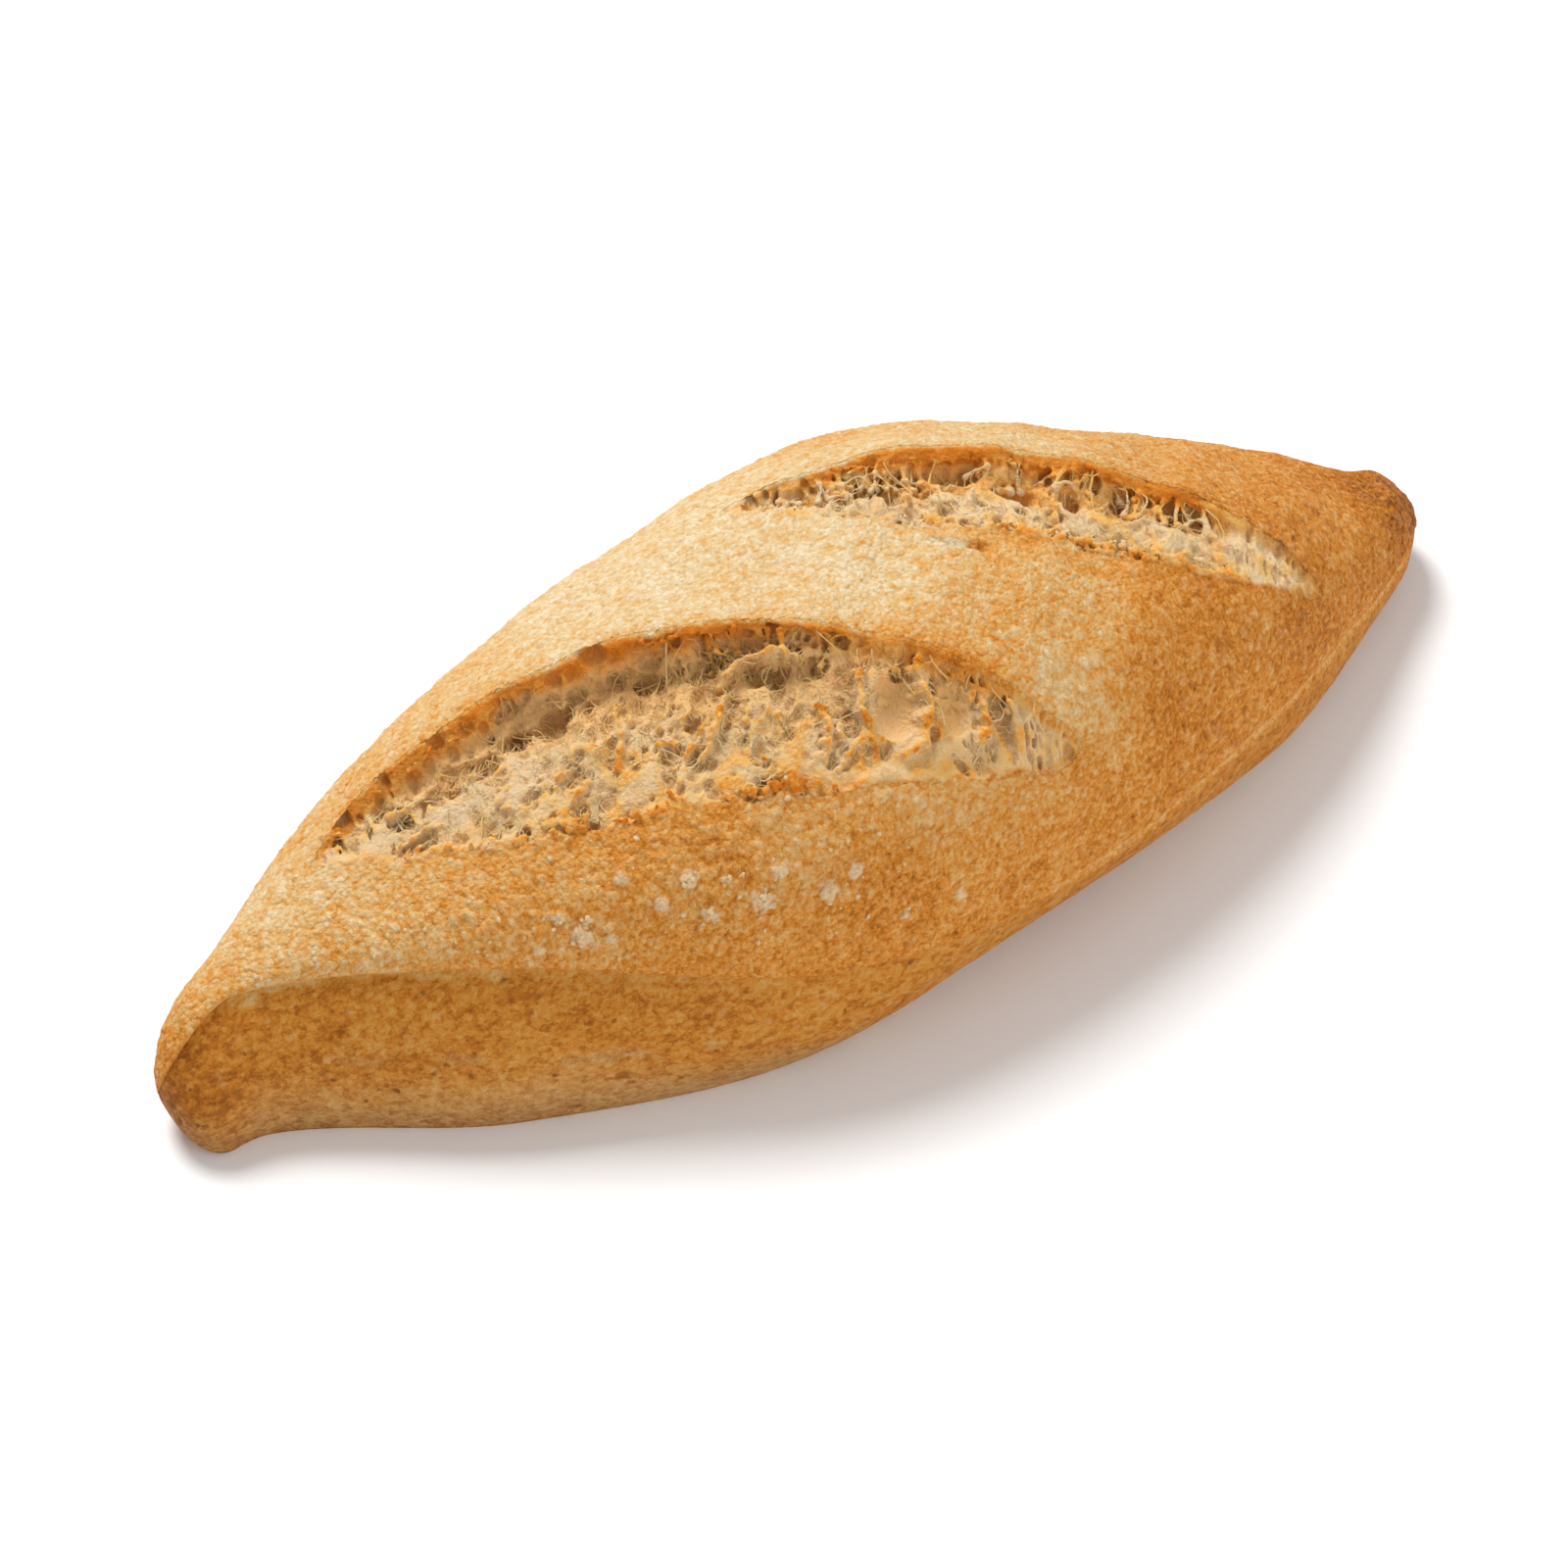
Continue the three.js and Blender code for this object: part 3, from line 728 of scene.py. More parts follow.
def build_flour(material):
    draw = np.random.default_rng(FLOUR_SEED)
    near = [(0, 0), (0.2, 0), (0, 0.2)]
    points, faces, count = [], [], 0
    for x, y, size in flour_places(draw):
        middle, ahead, aside = (crust_point(np.float64(x + dx), np.float64(y + dy)) for dx, dy in near)
        up = np.cross(ahead - middle, aside - middle)
        up /= np.linalg.norm(up)
        turned = np.array(Vector((0, 0, 1)).rotation_difference(Vector(up)).to_matrix())
        rise = float(crust_relief(middle[None])[0][0] + FLOUR_RISE * flour_cover(middle[None])[0])
        shape, own = lump(size, vary(draw, *LUMP_FLAT), draw)
        points.append(shape @ turned.T + middle + up * (rise - LUMP_SUNK * size))
        faces.append(own + count)
        count += len(shape)
    make_piece("flour", np.concatenate(points), np.concatenate(faces), material)


# Torn crumb of the slashes, from a field over a chart: along the slash, across it on the crust, and off it.
CHART_MARGIN = 2.8
BACK_ROOM = 3.0
TOP_ROOM = 1.8
BED_ROOM = 13.0
SKIN = 0.75
END_FADE = 0.45

# The opening: heights and sizes of the front lip's wander and of raggedness, layers in the torn face by
# height, depth and bend, and the radii that round it at the lips, the bed and the top.
LIP_WANDER = [(0.45, 3.2), (0.3, 1.3)]
WANDER_LIMITS = (-0.75, 1.2)
RAGGED = [(0.26, 2.4), (0.11, 0.9)]
LAYER_HEIGHT = 0.75
LAYER_DEPTH = 0.2
LAYER_BEND = 2.5
OPENING_ROUND = (0.6, 1.0, 0.4)

# The crumb bed: depth at the front lip, fall across, and the run and the rise of its recess.
BED_DEPTH = 0.8
BED_FALL = 1.3
RECESS_RUN = 0.36
RECESS_RISE = 0.85

# Pockets: distances from the slash's ends, the width that gives them full room, and their random sizes, which
# are here and below a least number and a spread, with a power if there is a third number.
POCKET_ENDS = (1.5, 2)
POCKET_ROOM = 10
POCKET_SIZE = (0.65, 0.7)
POCKET_STRETCH = (0.75, 0.5)
POCKET_WALL = (0.4, 1.2)
POCKET_DEPTH = (0.75, 0.5)
POCKET_SHIFT = 0.25
POCKET_THICK = (0.9, 0.4)

# Cups in a cubic millimetre of bare crumb, the share of pores among them and the share left in smooth walls.
CUPS = 0.55
PORES = 0.2
SMOOTH_CUPS = 0.05
CUP_SIZE = (0.12, 0.75, 2.2)
PORE_SIZE = (0.35, 0.4)
CUP_STRETCH = (1, 0.4)
END_STRETCH = 1.6
# Cells with smooth walls are larger than this, and are cleared of ridges to this share.
BIG_CELL = 2.0
CLEARED = 0.86
# Knobs, ridges and slots: places, sizes and roughness, and the steps and slope of a ridge's foot.
KNOB_ALONG = (0.1, 0.8)
KNOB_ACROSS = (0.1, 0.52)
KNOB_RUN = (0.05, 0.1)
KNOB_RADIUS = (0.22, 0.25)
KNOB_HEIGHTS = (-0.5, 0.35)
RIDGE_ROUGH = np.array([0.2, 0.2, 0.3])
RIDGE_RADIUS = (0.5, 0.5)
RIDGE_FOOT = 1.3
FOOT_STEP = 0.35
FOOT_SLOPE = 0.3
SLOT_ACROSS = (0.1, 0.8)
SLOT_SIZES = [(0.16, 0.18), (0.6, 1.0), (0.5, 0.6)]

# Strands, crags and flakes, and how far they may stand above the crust.
STRAND_STEPS = 7
STRAND_ROOT = 0.6
STRAND_RADIUS = (0.18, 0.14, 2)
STRAND_REACH = (1.5, 3.5)
STRAND_BOW = 0.14
STRAND_ROUGH = 0.06
CRAG_SPREAD = np.array([0.9, 0.6, 0.3])
CRAG_LENGTH = np.array([0.4, 0.35, 0.25])
CRAG_RADIUS = (0.16, 0.4, 2)
FLAKE_DEPTH = (0.25, 1.1, 1.5)
FLAKE_LENGTH = (0.3, 0.6)
FLAKE_RADIUS = (0.2, 0.15)
STAND_OVER = 0.7


def slash_chart(slash):
    start, along, side, length = slash_line(slash)
    s = np.arange(-CHART_MARGIN, length + CHART_MARGIN, VOXEL)
    share = s / length

    def plan(offset):
        return (start[k] + along[k] * s[:, None] + side[k] * offset for k in (0, 1))

    t = np.linspace(-slash["front"][0] - CHART_MARGIN, slash["back"][0] + CHART_MARGIN + 5, 300)
    arc = length_along(crust_point(*plan(t))) + 1e-4 * np.arange(len(t))
    arc -= np.stack([np.interp(0, t, row) for row in arc])[:, None]
    front = np.array([np.interp(-lip_opening(slash["front"], h), t, row) for h, row in zip(share, arc)])
    back = np.array([np.interp(lip_opening(slash["back"], h), t, row) for h, row in zip(share, arc)])
    a = np.arange(front.min() - CHART_MARGIN, back.max() + CHART_MARGIN + BACK_ROOM, VOXEL)
    base = crust_point(*plan(np.stack([np.interp(a, row, t) for row in arc])))
    normal = np.cross(np.gradient(base, axis=0), np.gradient(base, axis=1))
    normal /= np.linalg.norm(normal, axis=-1, keepdims=True)
    relief, grain = crust_relief(base)
    across = np.maximum(front[:, None] - a, a - back[:, None])
    ends = np.where(s < 0, -s, np.where(s > length, s - length, 0))[:, None]
    return {"s": s, "a": a, "n": np.arange(-BED_ROOM, TOP_ROOM, VOXEL), "length": length, "share": share,
            "front": front, "back": back, "fade": swelling(share, END_FADE), "base": base, "normal": normal,
            "relief": relief, "grain": grain, "outside": np.where(ends > 0, np.hypot(ends, a), across)}


def lattice_noise(shape, size, draw):
    """Smooth noise of unit spread on the voxel grid, from a coarse lattice blended along each axis."""
    steps = np.asarray(size, float) * np.ones(3)
    places = [np.arange(n) * VOXEL / step + draw.random() for n, step in zip(shape, steps)]
    values = draw.standard_normal([int(p[-1]) + 5 for p in places]).astype(np.float32)
    for axis, place in enumerate(places):
        cell = np.floor(place).astype(int)
        f = place - cell
        taps = [(1 - f) ** 3, 3 * f ** 3 - 6 * f ** 2 + 4, -3 * f ** 3 + 3 * f ** 2 + 3 * f + 1, f ** 3]
        matrix = np.zeros((len(place), values.shape[axis]), np.float32)
        for i, tap in enumerate(taps):
            matrix[np.arange(len(place)), cell + i] += tap / 6
        values = np.moveaxis(np.tensordot(matrix, values, (1, axis)), 0, axis)
    return values / values.std()


class Field:
    """A solid's field on the chart's voxels: positive inside, about a distance in millimetres."""

    def __init__(self, chart, values):
        self.origin = np.array([chart["s"][0], chart["a"][0], chart["n"][0]])
        self.values = values

    def window(self, low, high):
        lo = np.maximum(np.floor((low - self.origin) / VOXEL).astype(int), 0)
        hi = np.minimum(np.ceil((high - self.origin) / VOXEL).astype(int) + 1, self.values.shape)
        if (hi <= lo).any():
            return None, None
        axes = [self.origin[i] + VOXEL * np.arange(lo[i], hi[i]) for i in range(3)]
        return tuple(slice(*p) for p in zip(lo, hi)), np.meshgrid(*axes, indexing="ij", sparse=True)

    def carve(self, middle, axes, radii):
        """Takes an ellipsoid away. Axes are the rows of a turn."""
        reach = max(radii) + 2 * VOXEL
        part, grid = self.window(middle - reach, middle + reach)
        if part is None:
            return
        x, y, z = (g - m for g, m in zip(grid, middle))
        squares = (((i * x + j * y + k * z) / r) ** 2 for (i, j, k), r in zip(axes, radii))
        self.values[part] = np.minimum(self.values[part], (np.sqrt(sum(squares)) - 1) * min(radii))

    def add_rod(self, a, b, ra, rb):
        """Adds a rod from a to b that tapers from radius ra to rb."""
        reach = max(ra, rb) + 2 * VOXEL
        part, grid = self.window(np.minimum(a, b) - reach, np.maximum(a, b) + reach)
        if part is None:
            return
        ab = b - a
        d = [g - m for g, m in zip(grid, a)]
        h = np.clip(sum(x * y for x, y in zip(d, ab)) / max(float(ab @ ab), 1e-9), 0, 1)
        far = np.sqrt(sum((x - h * y) ** 2 for x, y in zip(d, ab)))
        self.values[part] = np.maximum(self.values[part], ra + (rb - ra) * h - far)

    def cells(self, steps):
        """Indices of the voxels nearest to voxel places."""
        return tuple(np.clip(np.round(steps).astype(int), 0, np.array(self.values.shape) - 1).T)

    def value_at(self, places):
        return self.values[self.cells((places - self.origin) / VOXEL)]


def turn(draw, tilt):
    """Three axes turned at random, by up to tilt radians."""
    axis = draw.standard_normal(3)
    return np.array(Matrix.Rotation(tilt * (2 * draw.random() - 1), 3, Vector(axis)))


CUBE_EDGES = [(a, b) for a in range(8) for b in range(a + 1, 8) if bin(a ^ b).count("1") == 1]
CUBE_CORNERS = np.array([[(c >> 2) & 1, (c >> 1) & 1, c & 1] for c in range(8)])


def surface_net(values):
    """Points (in voxel steps) and quads of the field's zero surface."""
    inside = values > 0
    shape = np.array(values.shape) - 1
    count = np.zeros(shape, np.uint8)
    for i, j, k in CUBE_CORNERS:
        count += inside[i:i + shape[0], j:j + shape[1], k:k + shape[2]]
    cells = np.argwhere((count > 0) & (count < 8))
    index = np.full(shape, -1, np.int32)
    index[tuple(cells.T)] = np.arange(len(cells))
    corner = np.stack([values[tuple((cells + c).T)] for c in CUBE_CORNERS], 1)
    total, crossings = np.zeros((len(cells), 3)), np.zeros(len(cells))
    for a, b in CUBE_EDGES:
        fa, fb = corner[:, a], corner[:, b]
        cross = (fa > 0) != (fb > 0)
        t = np.where(cross, fa / np.where(cross, fa - fb, 1), 0)[:, None]
        total += cross[:, None] * (CUBE_CORNERS[a] + t * (CUBE_CORNERS[b] - CUBE_CORNERS[a]))
        crossings += cross
    points = cells + total / crossings[:, None]
    quads = []
    for axis in range(3):
        others = [(axis + 1) % 3, (axis + 2) % 3]
        a = np.take(inside, range(values.shape[axis] - 1), axis)
        b = np.take(inside, range(1, values.shape[axis]), axis)
        edge = np.argwhere(a != b)
        edge = edge[((edge[:, others] > 0) & (edge[:, others] < shape[others])).all(1)]
        leaves = a[tuple(edge.T)]
        ring = []
        for step in ((-1, -1), (0, -1), (0, 0), (-1, 0)):
            cell = edge.copy()
            cell[:, others] += step
            ring.append(index[tuple(cell.T)])
        ring = np.stack(ring, 1)
        quads.append(np.where(leaves[:, None], ring, ring[:, ::-1]))
    return points, np.concatenate(quads)


def largest_part(count, faces):
    """Faces of the largest joined part."""
    label = np.arange(count)
    while True:
        least = label[faces].min(1)
        before = label.copy()
        for corner in range(faces.shape[1]):
            np.minimum.at(label, faces[:, corner], least)
        label = label[label]
        if (label == before).all():
            break
    own = label[faces[:, 0]]
    return faces[own == np.bincount(own).argmax()]


def box_blur(values, reach):
    out = values.astype(np.float32)
    for axis in range(3):
        pad = [(0, 0)] * 3
        pad[axis] = (reach + 1, reach)
        total = np.cumsum(np.pad(out, pad, mode="edge"), axis, dtype=np.float64)
        n = values.shape[axis]
        out = (np.take(total, range(2 * reach + 1, 2 * reach + 1 + n), axis)
               - np.take(total, range(n), axis)).astype(np.float32) / (2 * reach + 1)
    return out


def soften(values):
    """Rounds a field's edges over about a voxel."""
    for axis in range(3):
        pad = [(0, 0)] * 3
        pad[axis] = (1, 1)
        wide = np.pad(values, pad, mode="edge")
        n = values.shape[axis]
        low, middle, high = (np.take(wide, range(k, k + n), axis) for k in range(3))
        values = (low + 2 * middle + high) / 4
    return values


def sample(grid, place):
    """Linear samples of a 2-D grid, with any further axes, at voxel places."""
    i = np.clip(place[:, 0], 0, grid.shape[0] - 1.001)
    j = np.clip(place[:, 1], 0, grid.shape[1] - 1.001)
    i0, j0 = i.astype(int), j.astype(int)
    fi, fj = i - i0, j - j0
    if grid.ndim == 3:
        fi, fj = fi[:, None], fj[:, None]
    low = grid[i0, j0] * (1 - fj) + grid[i0, j0 + 1] * fj
    high = grid[i0 + 1, j0] * (1 - fj) + grid[i0 + 1, j0 + 1] * fj
    return low * (1 - fi) + high * fi


def bed_depth(slash, share, across):
    """Depth of the crumb bed below the crust: a low swell behind the front lip, then a recess."""
    place, depth = from_pairs(slash["recess_place"], share), from_pairs(slash["recess_depth"], share)
    fall = smooth(place - RECESS_RUN, place, across)
    wall = 1 - RECESS_RISE * smooth(place + 0.03, np.maximum(place + 0.2, 1.02), across)
    scale = swelling(share, END_FADE) * from_pairs(slash["bed_scale"], share)
    return scale * (BED_DEPTH + BED_FALL * np.minimum(across, 1) + depth * fall * wall)


def lips_at(chart, at):
    """Offsets of the front and back lip a distance along the slash, and how far it is open there."""
    i = int(np.clip((at - chart["s"][0]) / VOXEL, 0, len(chart["s"]) - 1))
    return chart["front"][i], chart["back"][i], chart["fade"][i]


def chart_point(slash, chart, along, across, height):
    """A chart point at shares of the slash, a height over the crumb bed."""
    at = along * chart["length"]
    front, back, _ = lips_at(chart, at)
    depth = float(bed_depth(slash, along, np.float64(across)))
    return np.array([at, front + across * (back - front), height - depth])


def shares_between(low, high, count, draw):
    return low + (high - low) * draw.random(count)


def open_slash(slash, chart, draw):
    """The field of the loaf with a slash's opening, and the depth of each voxel below the crust."""
    s, share = chart["s"], chart["share"][:, None, None]
    shape = (len(s), len(chart["a"]), len(chart["n"]))
    inner = np.minimum(1, 2 * chart["fade"])[:, None, None]
    across, off = chart["a"][None, :, None], chart["n"][None, None, :]
    front, back = chart["front"][:, None, None], chart["back"][:, None, None]
    bed = bed_depth(slash, share, np.clip((across - front) / np.maximum(back - front, 1.0), 0, 1.4))
    wander = sum(high * lattice_noise((len(s), 1, 1), size, draw) for high, size in LIP_WANDER)
    front = front + np.clip(wander, *WANDER_LIMITS) * inner
    ragged = sum(high * lattice_noise(shape, size, draw) for high, size in RAGGED)
    bend = LAYER_BEND * lattice_noise(shape, 4, draw)
    layers = LAYER_DEPTH * np.sin(2 * math.pi * off / LAYER_HEIGHT + bend) * smooth(-3, -0.6, off)
    lean = slash["lean"] * inner * np.clip(-off, 0, 4)
    at_lips, at_bed, at_top = OPENING_ROUND
    opening = soft_min(across - front, back - lean + layers * inner - across, at_lips)
    opening = soft_min(opening, off + bed, at_bed) + ragged * inner
    sunk = 0.04 + 0.12 * smooth(HANDOVER, CHART_MARGIN, chart["outside"])
    top = (chart["relief"] - sunk)[:, :, None] - off
    return Field(chart, soft_min(top, -opening, at_top).astype(np.float32)), top


def carve_pockets(slash, chart, field, draw):
    """Rows of pockets in the torn face of the raised lip. Thin walls stay between neighbours."""
    first, end = POCKET_ENDS
    least, spread = POCKET_WALL
    for before_lip, depth, size, stretch, stop in slash["pockets"]:
        at, last = first, 0.0
        while at < stop * chart["length"] - end:
            front, back, fade = lips_at(chart, at)
            room = np.clip((back - front) / POCKET_ROOM, 0.3, 1)
            r = size * room * vary(draw, *POCKET_SIZE)
            wide = r * stretch * vary(draw, *POCKET_STRETCH)
            at += last + wide + least + spread * draw.random() ** 2
            last = wide
            deep = max(0.5 + 1.1 * r, depth * fade * vary(draw, *POCKET_DEPTH))
            off = back - before_lip * room + POCKET_SHIFT * draw.standard_normal() * room
            middle = np.array([at, off, -deep])
            field.carve(middle, turn(draw, 0.25), (wide, r * vary(draw, *POCKET_THICK), r))


def carve_cells(slash, chart, field, draw):
    """Carves the cells, and tells which voxels lie in the smooth walls of the large ones."""
    walls = np.zeros(field.values.shape, bool)
    for along, across, *sizes, height in slash["cells"]:
        before = field.values.copy()
        field.carve(chart_point(slash, chart, along, across, height), turn(draw, 0.3), sizes)
        if min(sizes) > BIG_CELL:
            walls |= field.values < before - 0.02
    return walls


def carve_cups(chart, field, walls, draw):
    """Shallow cups and a few deeper pores in the bare crumb, drawn out across it near the slash's ends."""
    solid, outside = field.values.copy(), chart["outside"][:, :, None]
    keep = np.where(outside < -0.5, 0.45 * SKIN, SKIN + 0.5)
    bare = (solid > -0.9) & (solid < 0.3) & (outside < 2.5)
    bare &= chart["relief"][:, :, None] - chart["n"] > keep
    bare &= ~walls | (draw.random(solid.shape) < SMOOTH_CUPS)
    spots = np.argwhere(bare)
    count = int(len(spots) * VOXEL ** 3 * CUPS)
    least, spread, power = CUP_SIZE
    for spot in spots[draw.integers(0, len(spots), count)]:
        middle = field.origin + VOXEL * (spot + draw.random(3) - 0.5)
        r = max(-float(solid[tuple(spot)]), 0) + least + spread * draw.random() ** power
        if draw.random() < PORES:
            r = vary(draw, *PORE_SIZE)
        end = smooth(0.5, 0.95, abs(2 * chart["share"][spot[0]] - 1))
        wide = r * (vary(draw, *CUP_STRETCH) + END_STRETCH * end)
        field.carve(middle, turn(draw, 0.6), (r / (1 + 0.5 * end), wide, r * vary(draw, *CUP_STRETCH)))


def raise_ridges(slash, chart, field, draw):
    """Ridges and curled walls on the crumb bed, each with a foot, and small ones strewn over it."""
    ridges = list(slash["ridges"])
    low, high = KNOB_HEIGHTS
    for _ in range(slash["knobs"]):
        along, across = vary(draw, *KNOB_ALONG), vary(draw, *KNOB_ACROSS)
        turned, run = 0.5 + 0.5 * draw.standard_normal(), vary(draw, *KNOB_RUN)
        on, aside = math.sin(turned) * 0.25 * run, math.cos(turned) * run
        ends = [(along - on, across - aside, low), (along + on, across + aside, low)]
        ridges.append((vary(draw, *KNOB_RADIUS), [ends[0], (along, across, high), ends[1]]))
    for thick, path in ridges:
        knots = np.array([chart_point(slash, chart, *knot) for knot in path])
        fine = np.linspace(0, len(knots) - 1, 6 * len(knots))
        curve = np.stack([np.interp(fine, range(len(knots)), knots[:, k]) for k in range(3)], -1)
        curve += RIDGE_ROUGH * draw.standard_normal(curve.shape)
        radii = thick * vary(draw, *RIDGE_RADIUS, size=len(curve))
        tall = RIDGE_FOOT + max(0, path[len(path) // 2][2] - 0.5)
        for a, b, ra, rb in zip(curve, curve[1:], radii, radii[1:]):
            for drop in np.arange(0, tall, FOOT_STEP):
                down = np.array([0, 0, drop])
                field.add_rod(a - down, b - down, ra + FOOT_SLOPE * drop, rb + FOOT_SLOPE * drop)
    for along, across, *sizes, height in slash["cells"]:
        if min(sizes) > BIG_CELL:
            middle = chart_point(slash, chart, along, across, height)
            field.carve(middle, np.eye(3), CLEARED * np.array(sizes))


def carve_slots(slash, chart, field, draw):
    """Narrow slots across the crumb bed near the slash's ends."""
    for low, high, count in slash["slots"]:
        for _ in range(count):
            along, across = low + (high - low) * draw.random(), vary(draw, *SLOT_ACROSS)
            sizes = [vary(draw, *size) for size in SLOT_SIZES]
            field.carve(chart_point(slash, chart, along, across, 0.1), turn(draw, 0.25), sizes)


def hang_strands(slash, chart, field, draw):
    """Branching strands from the raised lip down to the crumb bed."""
    steps = np.linspace(0, 1, STRAND_STEPS)[:, None]
    for along in shares_between(*slash["strand_range"], slash["strands"], draw):
        front, back, _ = lips_at(chart, along * chart["length"])
        start = np.array([along * chart["length"], back + 0.3, -SKIN - STRAND_ROOT * draw.random()])
        r = vary(draw, *STRAND_RADIUS)
        for _ in range(draw.integers(1, 4)):
            ahead = 1 - min(0.8, vary(draw, *STRAND_REACH) / (back - front))
            foot_share = np.clip(along + 0.018 * draw.standard_normal(), 0.02, 0.98)
            foot = chart_point(slash, chart, foot_share, ahead, -0.3)
            bow = STRAND_BOW * np.linalg.norm(foot - start) * draw.standard_normal(3)
            path = start + steps * (foot - start) + np.sin(math.pi * steps) * bow
            path = path + STRAND_ROUGH * draw.standard_normal(path.shape)
            thick = r * (0.95 + 1.5 * (2 * steps[:, 0] - 1) ** 4)
            for k in range(STRAND_STEPS - 1):
                field.add_rod(path[k], path[k + 1], thick[k], thick[k + 1])
            start = path[draw.integers(2, 5)]


def strew_crags(slash, chart, field, draw):
    """Crumbs along the front lip."""
    for along in shares_between(*slash["crags"], draw):
        at = along * chart["length"]
        off = lips_at(chart, at)[0] + 0.5 * draw.standard_normal() + 0.4
        for _ in range(draw.integers(2, 8)):
            middle = np.array([at, off, -0.15]) + CRAG_SPREAD * draw.standard_normal(3)
            way = CRAG_LENGTH * draw.standard_normal(3)
            r = vary(draw, *CRAG_RADIUS)
            field.add_rod(middle - way / 2, middle + way / 2, r, 0.6 * r)


def strew_flakes(slash, chart, field, draw):
    """Flakes in the torn face just under the raised lip."""
    for along in shares_between(*slash["flakes"], draw):
        at = along * chart["length"]
        _, back, fade = lips_at(chart, at)
        down = vary(draw, *FLAKE_DEPTH)
        middle = np.array([at, back - slash["lean"] * fade * down, -down])
        way = [vary(draw, *FLAKE_LENGTH), 0.3, 0.3] * draw.uniform(-1, 1, 3)
        field.add_rod(middle - way, middle + way, vary(draw, *FLAKE_RADIUS), 0.15)


def crumb_field(slash, chart, draw):
    """The field of the loaf round a slash, and the smooth walls in it."""
    field, top = open_slash(slash, chart, draw)
    carve_pockets(slash, chart, field, draw)
    walls = carve_cells(slash, chart, field, draw)
    carve_cups(chart, field, walls, draw)
    field.values = (field.values + soften(field.values)) / 2
    for shape in (raise_ridges, carve_slots, hang_strands, strew_crags, strew_flakes):
        shape(slash, chart, field, draw)
    limit = top + STAND_OVER * smooth(1.4, -0.6, chart["outside"])[:, :, None]
    field.values = np.minimum(field.values, limit.astype(np.float32))
    return field, walls


def chart_to_space(chart, field, places):
    """Space points of chart points given in millimetres."""
    steps = (places - field.origin) / VOXEL
    return sample(chart["base"], steps) + sample(chart["normal"], steps) * places[:, 2:]


# Fibres in the torn crumb: least reach, most reach and stride to the next wall. Fuzz is free ends, and webs
# hang from the raised lip.
FIBRE_SIDES = 3
FIBRE_STEPS = np.linspace(0, 1, 4)
FIBRE_SEED = 3
FIBRE_TRIES = 14
FIBRE_REACH = (0.7, 3.2, 0.2)
FUZZ_LENGTH = (0.35, 0.65)
FUZZ_BEND = 0.4
FIBRE_BOW = 0.16
WEB_TRIES = 6
# Every web takes this much painted warm shade.
WEB_SHADE = 0.4
WEB_DOWN = (0.6, 1.2)
WEB_REACH = (2.0, 4.5)
WEB_BOW = 0.2
WEB_THINNING = 0.75


def tubes(paths, radii):
    """Three-sided tubes along paths (count, rings, 3) with radii (count, rings)."""
    count, rings = radii.shape
    run = paths[:, -1] - paths[:, 0]
    run /= np.maximum(np.linalg.norm(run, axis=1, keepdims=True), 1e-6)
    other = np.where(np.abs(run[:, 2:]) < 0.9, [0, 0, 1.0], [1.0, 0, 0])
    one = np.cross(run, other)
    one /= np.linalg.norm(one, axis=1, keepdims=True)
    two = np.cross(run, one)
    turns = [2 * math.pi * k / FIBRE_SIDES for k in range(FIBRE_SIDES)]
    ring = np.stack([math.cos(t) * one + math.sin(t) * two for t in turns], 1)
    points = paths[:, :, None, :] + radii[:, :, None, None] * ring[:, None]
    first = FIBRE_SIDES * np.arange(count * rings).reshape(count, rings)[:, :-1, None]
    k = np.arange(FIBRE_SIDES)
    n = (k + 1) % FIBRE_SIDES
    quads = np.stack([first + k, first + n, first + FIBRE_SIDES + n, first + FIBRE_SIDES + k], -1)
    return points.reshape(-1, 3), quads.reshape(-1, 4)


def lip_strands(slash, chart, field, draw):
    """Paths and radii of thin branching strands that hang from the raised lip down to the crumb bed."""
    paths, radii = [], []

    def anchored(middle, spread, place):
        """A random place that lies in the crumb, or none."""
        for _ in range(WEB_TRIES):
            spot = place(float(np.clip(middle + spread * draw.standard_normal(), 0.03, 0.97)))
            if field.value_at(spot[None])[0] > 0:
                return spot
        return None

    def lip_spot(share):
        down = vary(draw, *WEB_DOWN)
        slope = slash["lean"] * math.sin(math.pi * share) ** END_FADE
        at = share * chart["length"]
        return np.array([at, lips_at(chart, at)[1] - slope * down + 0.35, -down])

    def bed_spot(share):
        front, back, _ = lips_at(chart, share * chart["length"])
        across = max(0.12, 1 - vary(draw, *WEB_REACH) / max(back - front, 1))
        return chart_point(slash, chart, share, across, -0.25)

    for along in shares_between(*slash["strand_range"], slash["webs"], draw):
        root = anchored(along, 0.004, lip_spot)
        thick = draw.uniform(*slash["web_radius"])
        for _ in range(draw.integers(1, 4)):
            foot = anchored(along, 0.018, bed_spot)
            if root is None or foot is None:
                break
            bow = WEB_BOW * np.linalg.norm(foot - root) * draw.standard_normal(3)
            path = root + FIBRE_STEPS[:, None] * (foot - root) + np.sin(math.pi * FIBRE_STEPS)[:, None] * bow
            paths.append(path)
            radii.append(thick * (0.7 + 1.3 * (2 * FIBRE_STEPS - 1) ** 2))
            root = path[draw.integers(1, 3)]
            thick = WEB_THINNING * thick
    return np.array(paths), np.array(radii)


